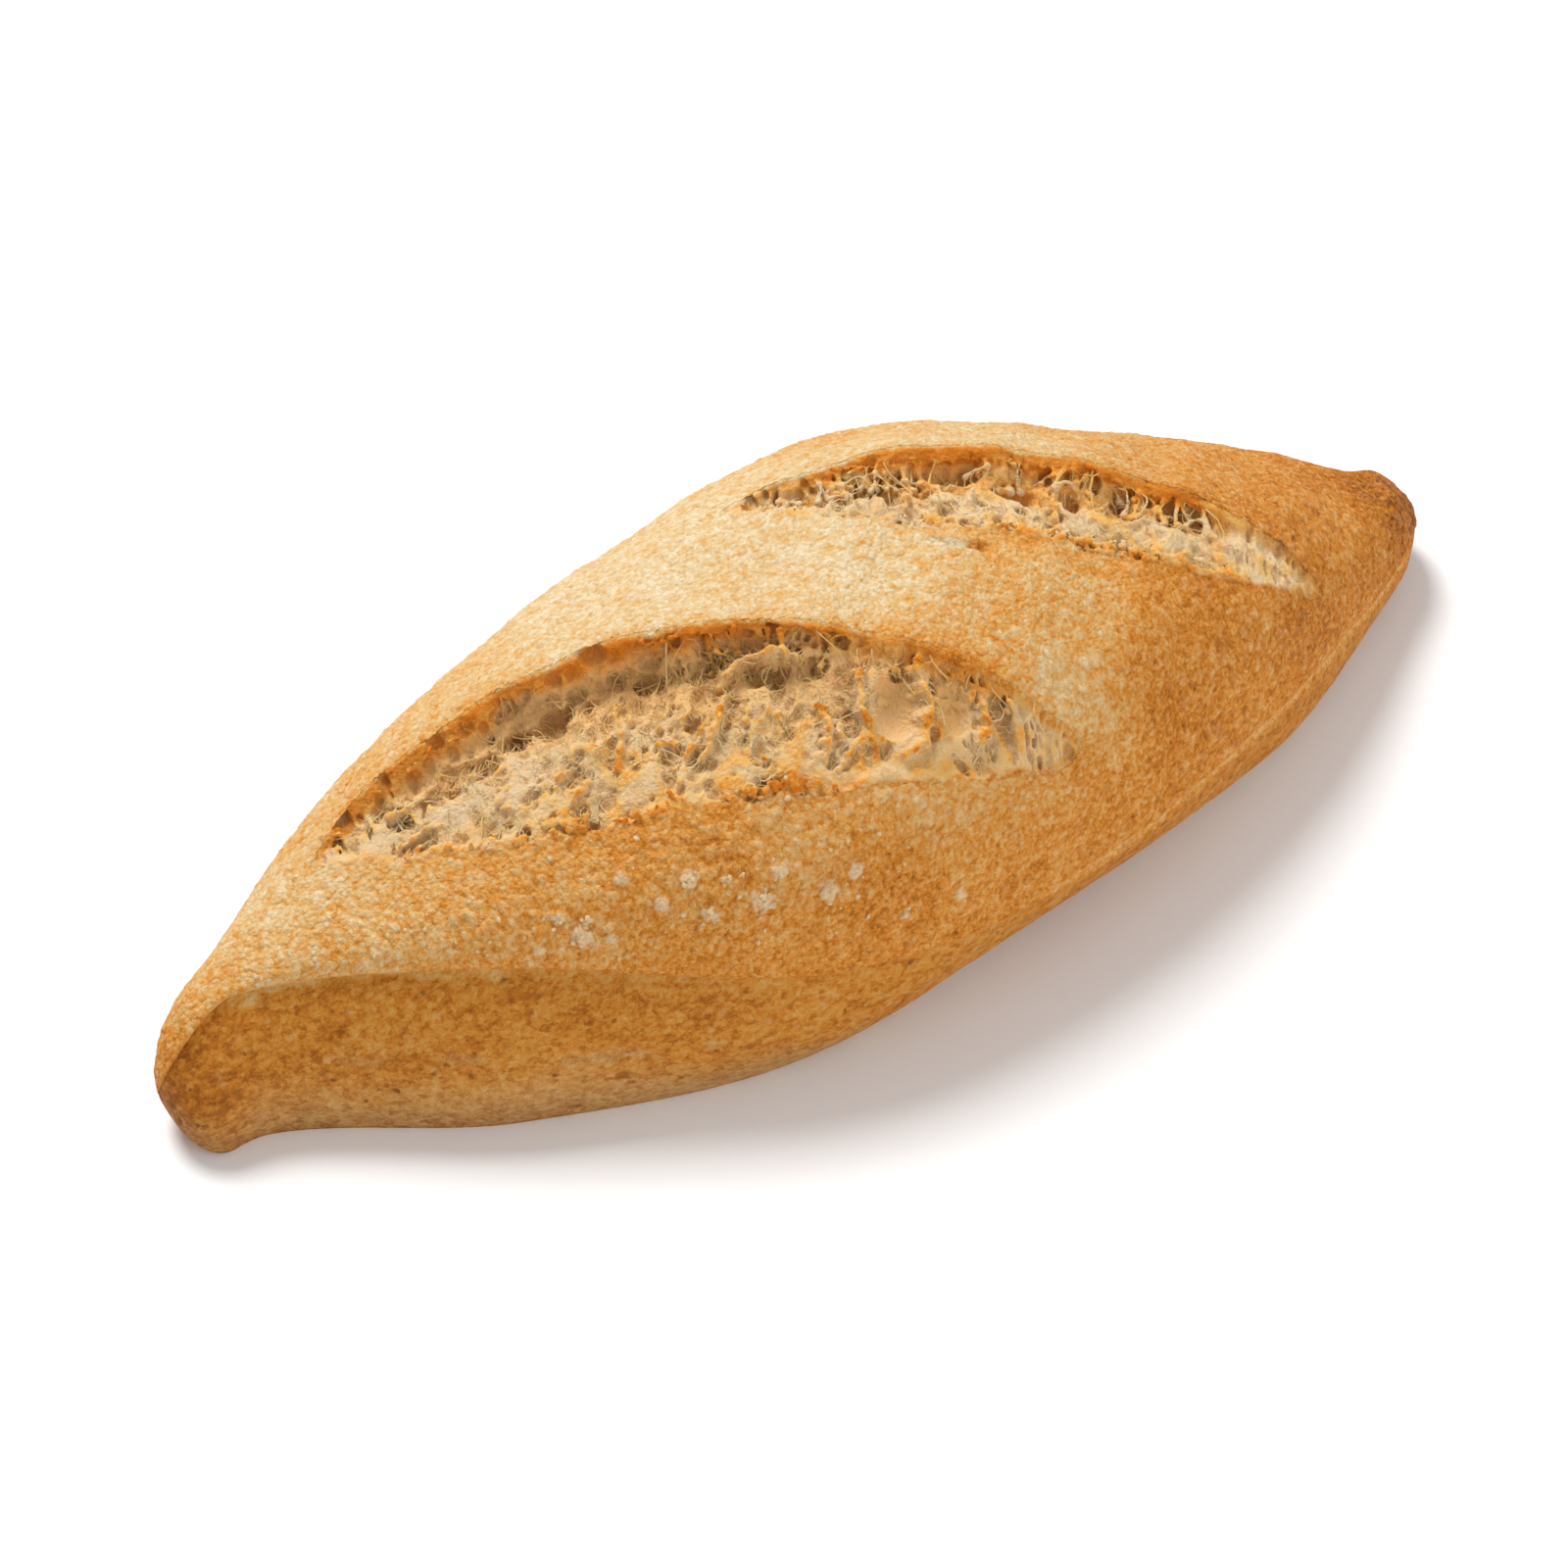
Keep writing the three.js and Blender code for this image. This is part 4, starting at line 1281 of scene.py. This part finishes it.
def crumb_fibres(slash, chart, field, places, normals, hairy, shade, draw):
    """Paths, radii and shade of fibres in space: strands from wall to wall, short free ends and webs."""
    roots = np.nonzero(hairy)[0]
    fibres, fuzz = slash["fibres"], slash["fuzz"]
    least, most, stride = FIBRE_REACH
    pick = roots[draw.integers(0, len(roots), FIBRE_TRIES * fibres)]
    start = places[pick] + 0.25 * normals[pick]
    way = draw.standard_normal((len(pick), 3)) * [0.45, 1, 1] + 0.8 * normals[pick]
    way /= np.linalg.norm(way, axis=1, keepdims=True)
    reach = np.full(len(pick), np.nan)
    for far in np.arange(stride, most, stride):
        hit = np.isnan(reach) & (field.value_at(start + far * way) > 0)
        reach[hit] = far
    good = np.nonzero((reach > least) & (field.value_at(start) < 0))[0][:fibres]
    root = places[pick[good]]
    steps = FIBRE_STEPS[None, :, None]
    spans = (start + way * (reach + stride)[:, None])[good] - root
    bow = FIBRE_BOW * draw.standard_normal((len(good), 1, 3)) * reach[good][:, None, None]
    held = root[:, None] + steps * spans[:, None] + bow * np.sin(math.pi * steps)
    swollen = 1 + 1.3 * (2 * FIBRE_STEPS - 1) ** 4
    held_radii = draw.uniform(*slash["fibre_radius"], len(good))[:, None] * swollen
    free = roots[draw.integers(0, len(roots), fuzz)]
    way = normals[free] + 0.9 * draw.standard_normal((fuzz, 3))
    way *= vary(draw, *FUZZ_LENGTH, size=(fuzz, 1)) / np.linalg.norm(way, axis=1, keepdims=True)
    bend = FUZZ_BEND * draw.standard_normal((fuzz, 1, 3))
    ends = places[free][:, None] + steps * way[:, None] + bend * steps ** 2
    webs, web_radii = lip_strands(slash, chart, field, draw)
    end_radii = draw.uniform(*slash["fibre_radius"], fuzz)[:, None] * (1.2 - FIBRE_STEPS)
    paths = np.concatenate([held, ends, webs])
    radii = np.concatenate([held_radii, end_radii, web_radii])
    # Each fibre's painted warm shade: from its root, and a fixed amount on webs.
    painted_shades = np.concatenate([0.8 * shade[pick[good]], shade[free], np.full(len(webs), WEB_SHADE)])
    return chart_to_space(chart, field, paths.reshape(-1, 3)).reshape(paths.shape), radii, painted_shades


# Looks of the crumb: reaches in voxels of the blurs that tell standing crumb and hollows, how far thin crumb
# stands out, and the depths and shares across of the recess. Strength and reach of the front rim, toast of
# the torn face, its edges and the width of a slash that has it in full.
BLURS = (3, 9)
THIN = (0.1, 0.26)
RECESS_DEPTHS = (1.2, 3.0)
RECESS_SHARES = (0.45, 0.7)
FRONT_RIM = (0.48, 1.2)
FACE_TOAST = 0.95
FACE_EDGES = (3.4, 1.4)
FULL_WIDTH = 16
# Fibres stay off the torn face and grow at a depth, deeper near the back lip.
# Their painted warm shade in the recess.
FACE_LIMIT = 0.2
FIBRE_DEPTHS = (SKIN + 0.3, 1.6)
NEAR_BACK = 4
LOW_SHADE = 0.9
# The crumb's piece ends under the crust's: a distance outside the opening and a depth.
CRUMB_END = (HANDOVER + 0.7, 0.4)


def measures(chart, field, points, places, steps):
    """What the crumb's looks depend on: places by the slash, depth, and how far a point stands out."""
    front, back = (np.interp(places[:, 0], chart["s"], chart[lip]) for lip in ("front", "back"))
    cells = field.cells(steps)
    standing, hollow = (0.5 - box_blur(field.values > 0, reach)[cells] for reach in BLURS)
    return {"points": points, "here": places[:, 0] / chart["length"], "from_front": places[:, 1] - front,
            "from_back": back - places[:, 1], "out": sample(chart["outside"], steps),
            "deep": sample(chart["relief"], steps) - places[:, 2], "standing": standing, "hollow": hollow}


def torn_face(slash, at):
    """How far a point lies in the browned face under the raised lip, from 0 to 1."""
    reach = slash["toast_depth"] * (1 + 0.3 * layered(at["points"], 3, 103))
    narrow = np.clip(FULL_WIDTH / np.maximum(at["from_front"] + at["from_back"], 1), 1, 4)
    face = smooth(*FACE_EDGES, np.abs(at["from_back"]) * narrow)
    face = face * smooth(reach, 0.45 * reach, at["deep"] * narrow ** 0.5)
    return face * from_pairs(slash["toasted"], at["here"])


def recess(at):
    """How far a point lies in the recess in front of the raised lip, from 0 to 1."""
    across = np.clip(at["from_front"] / np.maximum(at["from_front"] + at["from_back"], 1), 0, 1.4)
    return smooth(*RECESS_DEPTHS, at["deep"]) * smooth(*RECESS_SHARES, across)


def crumb_toast(slash, at, face, low, thin):
    """How toasted the crumb is: golden ridges and patches, a browned face, and rims of the front lip."""
    points, deep, standing = at["points"], at["deep"], at["standing"]
    strength, reach = FRONT_RIM
    front_rim = strength * np.exp(-np.abs(at["from_front"]) / reach)
    front_rim = front_rim * smooth(-0.6, 0.3, layered(points, 4, 105))
    # Cups in the torn face take more toast than their rims: partly browning, partly painted shade in the
    # cups.
    cupped = np.clip(0.9 - 4.5 * standing, 0.4, 1.2)
    cupped = cupped + (0.85 - cupped) * smooth(1.1, 0.4, deep)
    rim = np.maximum(front_rim, face * cupped)
    golden = from_pairs(slash["golden"], at["here"])
    patches = smooth(-0.1, 0.6, layered(points, 3.2, 101)) * golden
    ridge = np.clip(standing, -0.06, 0.25) - 1.2 * np.maximum(standing - 0.28, 0)
    exposed = 0.3 + 0.7 * np.exp(-np.maximum(deep - 1, 0) / 2.5)
    toast = 0.16 * golden - 0.02 + (0.9 * ridge + (0.3 + 0.9 * np.maximum(ridge, 0)) * patches) * exposed
    # Paling of thin crumb is partly painted light, on strands that lie in the lip's shade.
    # Toast added in the recess of the short slash is partly painted warm shade.
    return toast + FACE_TOAST * rim + slash["recess_toast_and_shade"] * low * (1 - thin) - slash["strand_pale_and_lit"] * thin


def crumb_cover(at):
    """Where the crumb is bare, from 0 on the crust to 1. Its edge is more ragged near the slash's ends."""
    deep = at["deep"]
    end = smooth(0.55, 0.95, np.abs(2 * at["here"] - 1))
    edge = at["out"] + (0.35 + 0.6 * end) * layered(at["points"], 1.6, 106, 2)
    crumb = np.maximum(smooth(0.2, 0.8, deep + 0.3 * end), smooth(0.5, -0.3 - 0.8 * end, edge))
    crumb = np.maximum(crumb, smooth(-0.1, -0.35, deep))
    return crumb * (1 - 0.5 * end * smooth(1.5, 0.0, at["from_back"]))


def crumb_shade(slash, at, face, low, thin):
    """How far a point takes the painted warm shade of hollows and of the recess, from 0 to 1."""
    shade = 0.8 * smooth(0.02, -0.3, at["hollow"]) * smooth(0.8, 3.0, at["deep"])
    shade = np.maximum(shade + 0.65 * smooth(0.02, -0.14, at["standing"]), low)
    return np.clip(shade * (1 - 0.7 * face) * slash["shaded"] * (1 - thin), 0, 1)


def build_slash(slash, material):
    """Builds a slash's piece, and returns the paths, radii and shade of its fibres."""
    chart = slash_chart(slash)
    draw = np.random.default_rng(slash["seed"])
    field, walls = crumb_field(slash, chart, draw)
    steps, quads = surface_net(field.values)
    quads = largest_part(len(steps), quads)
    deep = sample(chart["relief"], steps) - (field.origin + VOXEL * steps)[:, 2]
    far, shallow = CRUMB_END
    hidden = (sample(chart["outside"], steps) > far) & (deep < shallow)
    steps, quads = drop_loose(steps, quads[~hidden[quads].any(1)])
    places = field.origin + VOXEL * steps
    points = chart_to_space(chart, field, places)
    at = measures(chart, field, points, places, steps)
    face, low, thin = torn_face(slash, at), recess(at), smooth(*THIN, at["standing"])
    shade = crumb_shade(slash, at, face, low, thin)
    values = {"crumb": crumb_cover(at), "toast": crumb_toast(slash, at, face, low, thin), "shade": shade,
              "brown": browning(points), "grain": sample(chart["grain"], steps),
              "floured": flour_cover(points)}
    make_piece(slash["name"], points, quads, material, values)
    normals = point_normals(places, np.concatenate([quads[:, [0, 1, 2]], quads[:, [0, 2, 3]]]))
    least, deeper = FIBRE_DEPTHS
    hairy = (at["out"] < 0) & (face < FACE_LIMIT) & ~walls[field.cells(steps)] & (at["deep"] > least)
    hairy &= (at["deep"] > deeper) | (at["from_back"] > NEAR_BACK)
    # Fibres take painted warm shade, at least that of the recess they grow in.
    return crumb_fibres(slash, chart, field, places, normals, hairy, np.maximum(shade, LOW_SHADE * low), draw)


def build_fibres(bundles, material):
    paths, radii, shade = (np.concatenate(v) for v in zip(*bundles))
    points, quads = tubes(paths, radii)
    tone = np.random.default_rng(FIBRE_SEED).random(len(paths))
    # Fibres in painted warm shade also take more toast.
    values = {"toast": 0.06 + 0.4 * tone ** 2 + 0.3 * shade, "shade": shade}
    values = {key: np.repeat(each, FIBRE_SIDES * radii.shape[1]) for key, each in values.items()}
    make_piece("crumb_fibres", points, quads, material, values)


# Colours over a tone, and single colours.
RAMP_LOW = -0.33
RAMP_HIGH = 1.3
CRUST_STOPS = [(-0.33, (0.82, 0.69, 0.49)), (0.0, (0.705, 0.52, 0.28)), (0.25, (0.69, 0.41, 0.145)),
               (0.42, (0.675, 0.335, 0.085)), (0.62, (0.65, 0.25, 0.034)), (0.82, (0.54, 0.18, 0.015)),
               (1.0, (0.42, 0.13, 0.01)), (1.3, (0.17, 0.05, 0.004))]
SIDE_STOPS = [(0.2, (0.6, 0.37, 0.14)), (0.45, (0.57, 0.275, 0.055)), (0.65, (0.54, 0.205, 0.022)),
              (0.82, (0.43, 0.14, 0.01)), (1.0, (0.3, 0.09, 0.007)), (1.3, (0.16, 0.045, 0.004))]
TAN_STOPS = [(0.25, (0.61, 0.39, 0.18)), (0.65, (0.48, 0.265, 0.09)), (1.0, (0.33, 0.13, 0.03))]
CRUMB_STOPS = [(-0.2, (0.86, 0.7, 0.48)), (0.0, (0.71, 0.545, 0.35)), (0.25, (0.73, 0.49, 0.225)),
               (0.5, (0.76, 0.43, 0.12)), (0.75, (0.75, 0.31, 0.045)), (1.0, (0.6, 0.19, 0.015))]
FLOUR_STOPS = [(0.2, (0.58, 0.38, 0.18)), (0.5, (0.67, 0.48, 0.26)), (0.8, (0.75, 0.58, 0.37))]
FLOUR = (0.77, 0.61, 0.38)
FLOUR_LUMP = (0.75, 0.58, 0.36)
# Painted shade of small pits: the colour of dark specks on the bare side.
SIDE_PIT_SHADE = (0.13, 0.04, 0.006)
SIDE_DOT = (0.62, 0.4, 0.18)
BRAN = (0.26, 0.085, 0.01)
# Painted warm shade: the colour blended into crumb and fibres in hollows and the recess.
HOLLOW_SHADE = (0.76, 0.44, 0.165)

# Mottling: sizes of fine, middle and wide noise and of ragged cells, and how far each moves the tone.
CRUST_MOTTLE = ((0.5, 1.5, 5, 0.7), (1.3, 0.55, 0.35, 0.32))
SIDE_MOTTLE = ((0.6, 1.6, 4.5, 0.9), (1.15, 0.35, 0.25, 0.28))
CELL_MOVE = 0.2
GRAIN_MOVE = 0.25
# The side's tone darkens in its pits by this much, as painted shade.
PIT_MOVE = 0.45
CRUMB_MOTTLE = (1.2, 0.4)
FIBRE_MOTTLE = (0.8, 0.2)
FLOUR_MOTTLE = 0.6
CRUMB_FINE = 0.35

# Flecks: size of the cells that may hold one, the share that do, and their strength where it is even.
CRUST_SPECKS = (1.3, 0.14, 0.25)
CRUST_DOTS = (1.5, 0.16)
CRUST_BRAN = (1.7, 0.06, 0.3)
SIDE_DOTS = (1.3, 0.1, 0.35)
SIDE_BRAN = (1.5, 0.1, 0.4)
# Dark specks that stand in for the shade in tiny pits: painted shade.
SIDE_SPECKS = (1.1, 0.035, 0.75)
FLECK_EDGE = (0.42, 0.14)
# Flour dust on grains: strength on pale and on brown crust, and those tones.
DUST = (0.3, 0.62, 0.5, 0.16)
SIDE_DRAWN = (0.75, 1, 1)
BRAN_DRAWN = (0.6, 1, 1.2)

# Surfaces: strength of the bump, roughness and specular level.
CRUST_SURFACE = (0.74, 0.7, 0.12)
SIDE_SURFACE = (0.75, 0.55, 0.13)
FLOUR_SURFACE = (0.5, 0.85, 0.1)
CRUMB_SURFACE = (0.7, 0.8, 0.1)
FIBRE_SURFACE = (0.2, 0.8, 0.1)
BUMP_DEPTH = 0.5 * MM
BUMP_MIDDLE = 0.8
# How far the crumb and the fibres take the painted warm shade.
CRUMB_HOLLOW_SHADE = 0.9
FIBRE_HOLLOW_SHADE = 0.8
SOFT = {"Subsurface Weight": 0.6, "Subsurface Radius": (1.0, 0.55, 0.25), "Subsurface Scale": 0.8 * MM}


# Materials.
def linked(tree, kind, inputs, **settings):
    """A node with its settings, and inputs by name or number: links, or values of the socket's own."""
    node = tree.nodes.new(kind)
    for key, value in settings.items():
        setattr(node, key, value)
    for key, value in inputs.items():
        socket = node.inputs[key]
        if isinstance(value, bpy.types.NodeSocket):
            tree.links.new(value, socket)
        elif isinstance(socket, bpy.types.NodeSocketColor):
            socket.default_value = (*value, 1)
        else:
            socket.default_value = value
    return node


def attribute(tree, name):
    return linked(tree, "ShaderNodeAttribute", {}, attribute_name=name).outputs["Fac"]


def math_node(tree, operation, *values):
    return linked(tree, "ShaderNodeMath", dict(enumerate(values)), operation=operation).outputs[0]


def product(tree, a, b):
    return math_node(tree, "MULTIPLY", a, b)


def total(tree, *values):
    result = values[0]
    for value in values[1:]:
        result = math_node(tree, "ADD", result, value)
    return result


def around(tree, value, amount):
    """A texture's value from 0 to 1 made to swing about 0 by an amount."""
    return math_node(tree, "MULTIPLY_ADD", value, amount, -amount / 2)


def rescaled(tree, value, low, high, new_low=0.0, new_high=1.0):
    ends = {"From Min": low, "From Max": high, "To Min": new_low, "To Max": new_high}
    return linked(tree, "ShaderNodeMapRange", {"Value": value, **ends}).outputs[0]


def ramp(tree, tone, stops):
    """Colours over a tone from RAMP_LOW to RAMP_HIGH."""
    node = linked(tree, "ShaderNodeValToRGB", {"Fac": rescaled(tree, tone, RAMP_LOW, RAMP_HIGH)})
    elements = node.color_ramp.elements
    while len(elements) < len(stops):
        elements.new(0.5)
    for element, (place, colour) in zip(elements, stops):
        element.position = (place - RAMP_LOW) / (RAMP_HIGH - RAMP_LOW)
        element.color = (*colour, 1)
    return node.outputs["Color"]


def blend_colour(tree, factor, a, b):
    return linked(tree, "ShaderNodeMix", {0: factor, 6: a, 7: b}, data_type="RGBA").outputs[2]


def speckle(tree, coordinates, size_mm, detail=3.0, roughness=0.6):
    inputs = {"Vector": coordinates, "Scale": 1 / (MM * size_mm), "Detail": detail, "Roughness": roughness}
    return linked(tree, "ShaderNodeTexNoise", inputs).outputs["Fac"]


def stretched(tree, coordinates, scale):
    return linked(tree, "ShaderNodeMapping", {"Vector": coordinates, "Scale": scale}).outputs["Vector"]


def ragged_cells(tree, coordinates, size_mm):
    """A number of each cell's own, and the distance from its middle, for cells with ragged borders."""
    scale = 1 / (MM * size_mm)
    ragged = linked(tree, "ShaderNodeTexNoise", {"Vector": coordinates, "Scale": 2.2 * scale, "Detail": 2.0})
    shift = {0: ragged.outputs["Color"], 1: (0.6 * MM * size_mm,) * 3, 2: coordinates}
    shifted = linked(tree, "ShaderNodeVectorMath", shift, operation="MULTIPLY_ADD").outputs[0]
    cells = linked(tree, "ShaderNodeTexVoronoi", {"Vector": shifted, "Scale": scale, "Randomness": 1.0})
    number = linked(tree, "ShaderNodeSeparateColor", {"Color": cells.outputs["Color"]}).outputs[0]
    return number, cells.outputs["Distance"]


def flecks(tree, coordinates, size_mm, share, strength):
    """Small ragged flecks: the middles of some cells of a given size."""
    number, distance = ragged_cells(tree, coordinates, size_mm)
    chosen = math_node(tree, "LESS_THAN", number, share)
    return product(tree, product(tree, rescaled(tree, distance, *FLECK_EDGE), chosen), strength)


def mottled(tree, coordinates, mottle):
    """The browning moved by textures, the fine and the middle texture, and the distance in the cells."""
    sizes, moves = mottle
    fine = speckle(tree, coordinates, sizes[0], roughness=0.7)
    middle, wide = (speckle(tree, coordinates, size) for size in sizes[1:3])
    number, distance = ragged_cells(tree, coordinates, sizes[3])
    swings = (around(tree, value, move) for value, move in zip((fine, middle, wide, number), moves))
    return total(tree, attribute(tree, "brown"), *swings), fine, middle, distance


def new_material(name):
    material = bpy.data.materials.new(name)
    material.use_nodes = True
    tree = material.node_tree
    tree.nodes.clear()
    return material, tree, tree.nodes.new("ShaderNodeTexCoord").outputs["Object"]


def finish_material(tree, colour, height, surface, **further):
    bump, roughness, specular = surface
    bumped = linked(tree, "ShaderNodeBump", {"Height": height, "Strength": bump, "Distance": BUMP_DEPTH})
    inputs = {"Base Color": colour, "Roughness": roughness, "Specular IOR Level": specular,
              "Normal": bumped.outputs["Normal"], **further}
    shader = linked(tree, "ShaderNodeBsdfPrincipled", inputs)
    linked(tree, "ShaderNodeOutputMaterial", {"Surface": shader.outputs["BSDF"]})


def crust_colour(tree, coordinates):
    """The crust's colour, and its height for the bump."""
    tone, fine, middle, distance = mottled(tree, coordinates, CRUST_MOTTLE)
    brown, grain = attribute(tree, "brown"), attribute(tree, "grain")
    tone = total(tree, tone, around(tree, distance, CELL_MOVE), flecks(tree, coordinates, *CRUST_SPECKS))
    colour = ramp(tree, math_node(tree, "SUBTRACT", tone, product(tree, grain, GRAIN_MOVE)), CRUST_STOPS)
    pale = rescaled(tree, brown, *DUST)
    dots = flecks(tree, coordinates, *CRUST_DOTS, pale)
    colour = blend_colour(tree, math_node(tree, "MAXIMUM", product(tree, grain, pale), dots), colour, FLOUR)
    powder = product(tree, attribute(tree, "floured"), total(tree, fine, 0.25))
    colour = blend_colour(tree, powder, colour, FLOUR_LUMP)
    height = math_node(tree, "SUBTRACT", product(tree, middle, BUMP_MIDDLE), total(tree, fine, distance))
    return blend_colour(tree, flecks(tree, coordinates, *CRUST_BRAN), colour, BRAN), height


def crust_material():
    material, tree, coordinates = new_material("floured_crust")
    finish_material(tree, *crust_colour(tree, coordinates), CRUST_SURFACE)
    return material


def side_material():
    material, tree, coordinates = new_material("bare_side")
    drawn = stretched(tree, coordinates, SIDE_DRAWN)
    tone, fine, middle, _ = mottled(tree, drawn, SIDE_MOTTLE)
    # Painted shade: the side darkens in its pits.
    tone = total(tree, tone, product(tree, attribute(tree, "pits"), PIT_MOVE))
    tan = product(tree, attribute(tree, "tan"), total(tree, middle, 0.3))
    colour = blend_colour(tree, tan, ramp(tree, tone, SIDE_STOPS), ramp(tree, tone, TAN_STOPS))
    colour = blend_colour(tree, flecks(tree, drawn, *SIDE_DOTS), colour, SIDE_DOT)
    bran = flecks(tree, stretched(tree, coordinates, BRAN_DRAWN), *SIDE_BRAN)
    colour = blend_colour(tree, bran, colour, BRAN)
    # Painted shade of tiny pits: dark specks.
    colour = blend_colour(tree, flecks(tree, drawn, *SIDE_SPECKS), colour, SIDE_PIT_SHADE)
    height = math_node(tree, "SUBTRACT", product(tree, middle, BUMP_MIDDLE), fine)
    finish_material(tree, colour, height, SIDE_SURFACE)
    return material


def crumb_colour(tree, swing, hollow):
    """The crumb's colour from its toast, moved by a texture, and the painted warm shade of hollows."""
    crumb = ramp(tree, total(tree, attribute(tree, "toast"), swing), CRUMB_STOPS)
    return blend_colour(tree, product(tree, attribute(tree, "shade"), hollow), crumb, HOLLOW_SHADE)


def crumb_material():
    material, tree, coordinates = new_material("torn_crumb")
    crust, height = crust_colour(tree, coordinates)
    size, move = CRUMB_MOTTLE
    crumb = crumb_colour(tree, around(tree, speckle(tree, coordinates, size, 4), move), CRUMB_HOLLOW_SHADE)
    colour = blend_colour(tree, attribute(tree, "crumb"), crust, crumb)
    height = total(tree, height, speckle(tree, coordinates, CRUMB_FINE, 2))
    finish_material(tree, colour, height, CRUMB_SURFACE, **SOFT)
    return material


def flour_material():
    material, tree, coordinates = new_material("baked_flour")
    mottle = speckle(tree, coordinates, FLOUR_MOTTLE)
    finish_material(tree, ramp(tree, mottle, FLOUR_STOPS), mottle, FLOUR_SURFACE)
    return material


def fibre_material():
    material, tree, coordinates = new_material("crumb_fibre")
    size, move = FIBRE_MOTTLE
    mottle = speckle(tree, coordinates, size, 2)
    colour = crumb_colour(tree, around(tree, mottle, move), FIBRE_HOLLOW_SHADE)
    finish_material(tree, colour, mottle, FIBRE_SURFACE, **SOFT)
    return material


build_top(crust_material())
build_side(side_material())
build_flour(flour_material())
TORN = crumb_material()
build_fibres([build_slash(each, TORN) for each in SLASHES], fibre_material())

# Floor, light and camera. Lights have a place in metres, a size and a power.
FLOOR_SIZE = 6
FLOOR_GAP = 0.02 * MM
FLOOR_COLOUR = (0.93, 0.93, 0.93)
FLOOR_ROUGHNESS = 0.9
WORLD_STRENGTH = 0.45
LIGHT_AIM = Vector((0, 0, 0.02))
LIGHTS = {"key": ((-0.1, 0.6, 1.0), 0.55, 13.5), "fill": ((0.3, -0.95, 0.42), 0.8, 4.4)}


def build_floor():
    bpy.ops.mesh.primitive_plane_add(size=FLOOR_SIZE, location=(0, 0, -FLOOR_GAP))
    floor = bpy.context.object
    floor.name = "floor"
    material, tree, _ = new_material("pale_floor")
    inputs = {"Base Color": FLOOR_COLOUR, "Roughness": FLOOR_ROUGHNESS}
    shader = linked(tree, "ShaderNodeBsdfPrincipled", inputs)
    linked(tree, "ShaderNodeOutputMaterial", {"Surface": shader.outputs["BSDF"]})
    floor.data.materials.append(material)


def build_light():
    world = bpy.data.worlds.new("studio")
    bpy.context.scene.world = world
    world.use_nodes = True
    background = world.node_tree.nodes["Background"]
    background.inputs["Color"].default_value = (1, 1, 1, 1)
    background.inputs["Strength"].default_value = WORLD_STRENGTH
    for name, (place, size, power) in LIGHTS.items():
        data = bpy.data.lights.new(name, "AREA")
        data.shape = "DISK"
        data.size = size
        data.energy = power
        light = bpy.data.objects.new(name, data)
        light.location = place
        light.rotation_euler = (LIGHT_AIM - Vector(place)).to_track_quat("-Z", "Y").to_euler()
        bpy.context.collection.objects.link(light)


def build_camera():
    turned, rise = math.radians(VIEW_TURN), math.radians(VIEW_RISE)
    back = Vector((-math.sin(turned) * math.cos(rise), -math.cos(turned) * math.cos(rise), math.sin(rise)))
    right = Vector((math.cos(turned), -math.sin(turned), 0))
    up = back.cross(right)
    target = Vector(VIEW_TARGET + SHIFT)
    place = target + VIEW_DISTANCE * back
    aim = target + AIM_SHIFT[0] * right + AIM_SHIFT[1] * up
    data = bpy.data.cameras.new("camera")
    data.sensor_width = SENSOR
    data.lens = FOCAL_PIXELS / PICTURE_PIXELS * SENSOR
    data.clip_start, data.clip_end = 0.05, 20
    camera = bpy.data.objects.new("camera", data)
    camera.location = place * MM
    camera.rotation_euler = (aim - place).to_track_quat("-Z", "Y").to_euler()
    bpy.context.collection.objects.link(camera)
    bpy.context.scene.camera = camera


build_floor()
build_light()
build_camera()
bpy.context.scene.view_settings.view_transform = "Standard"
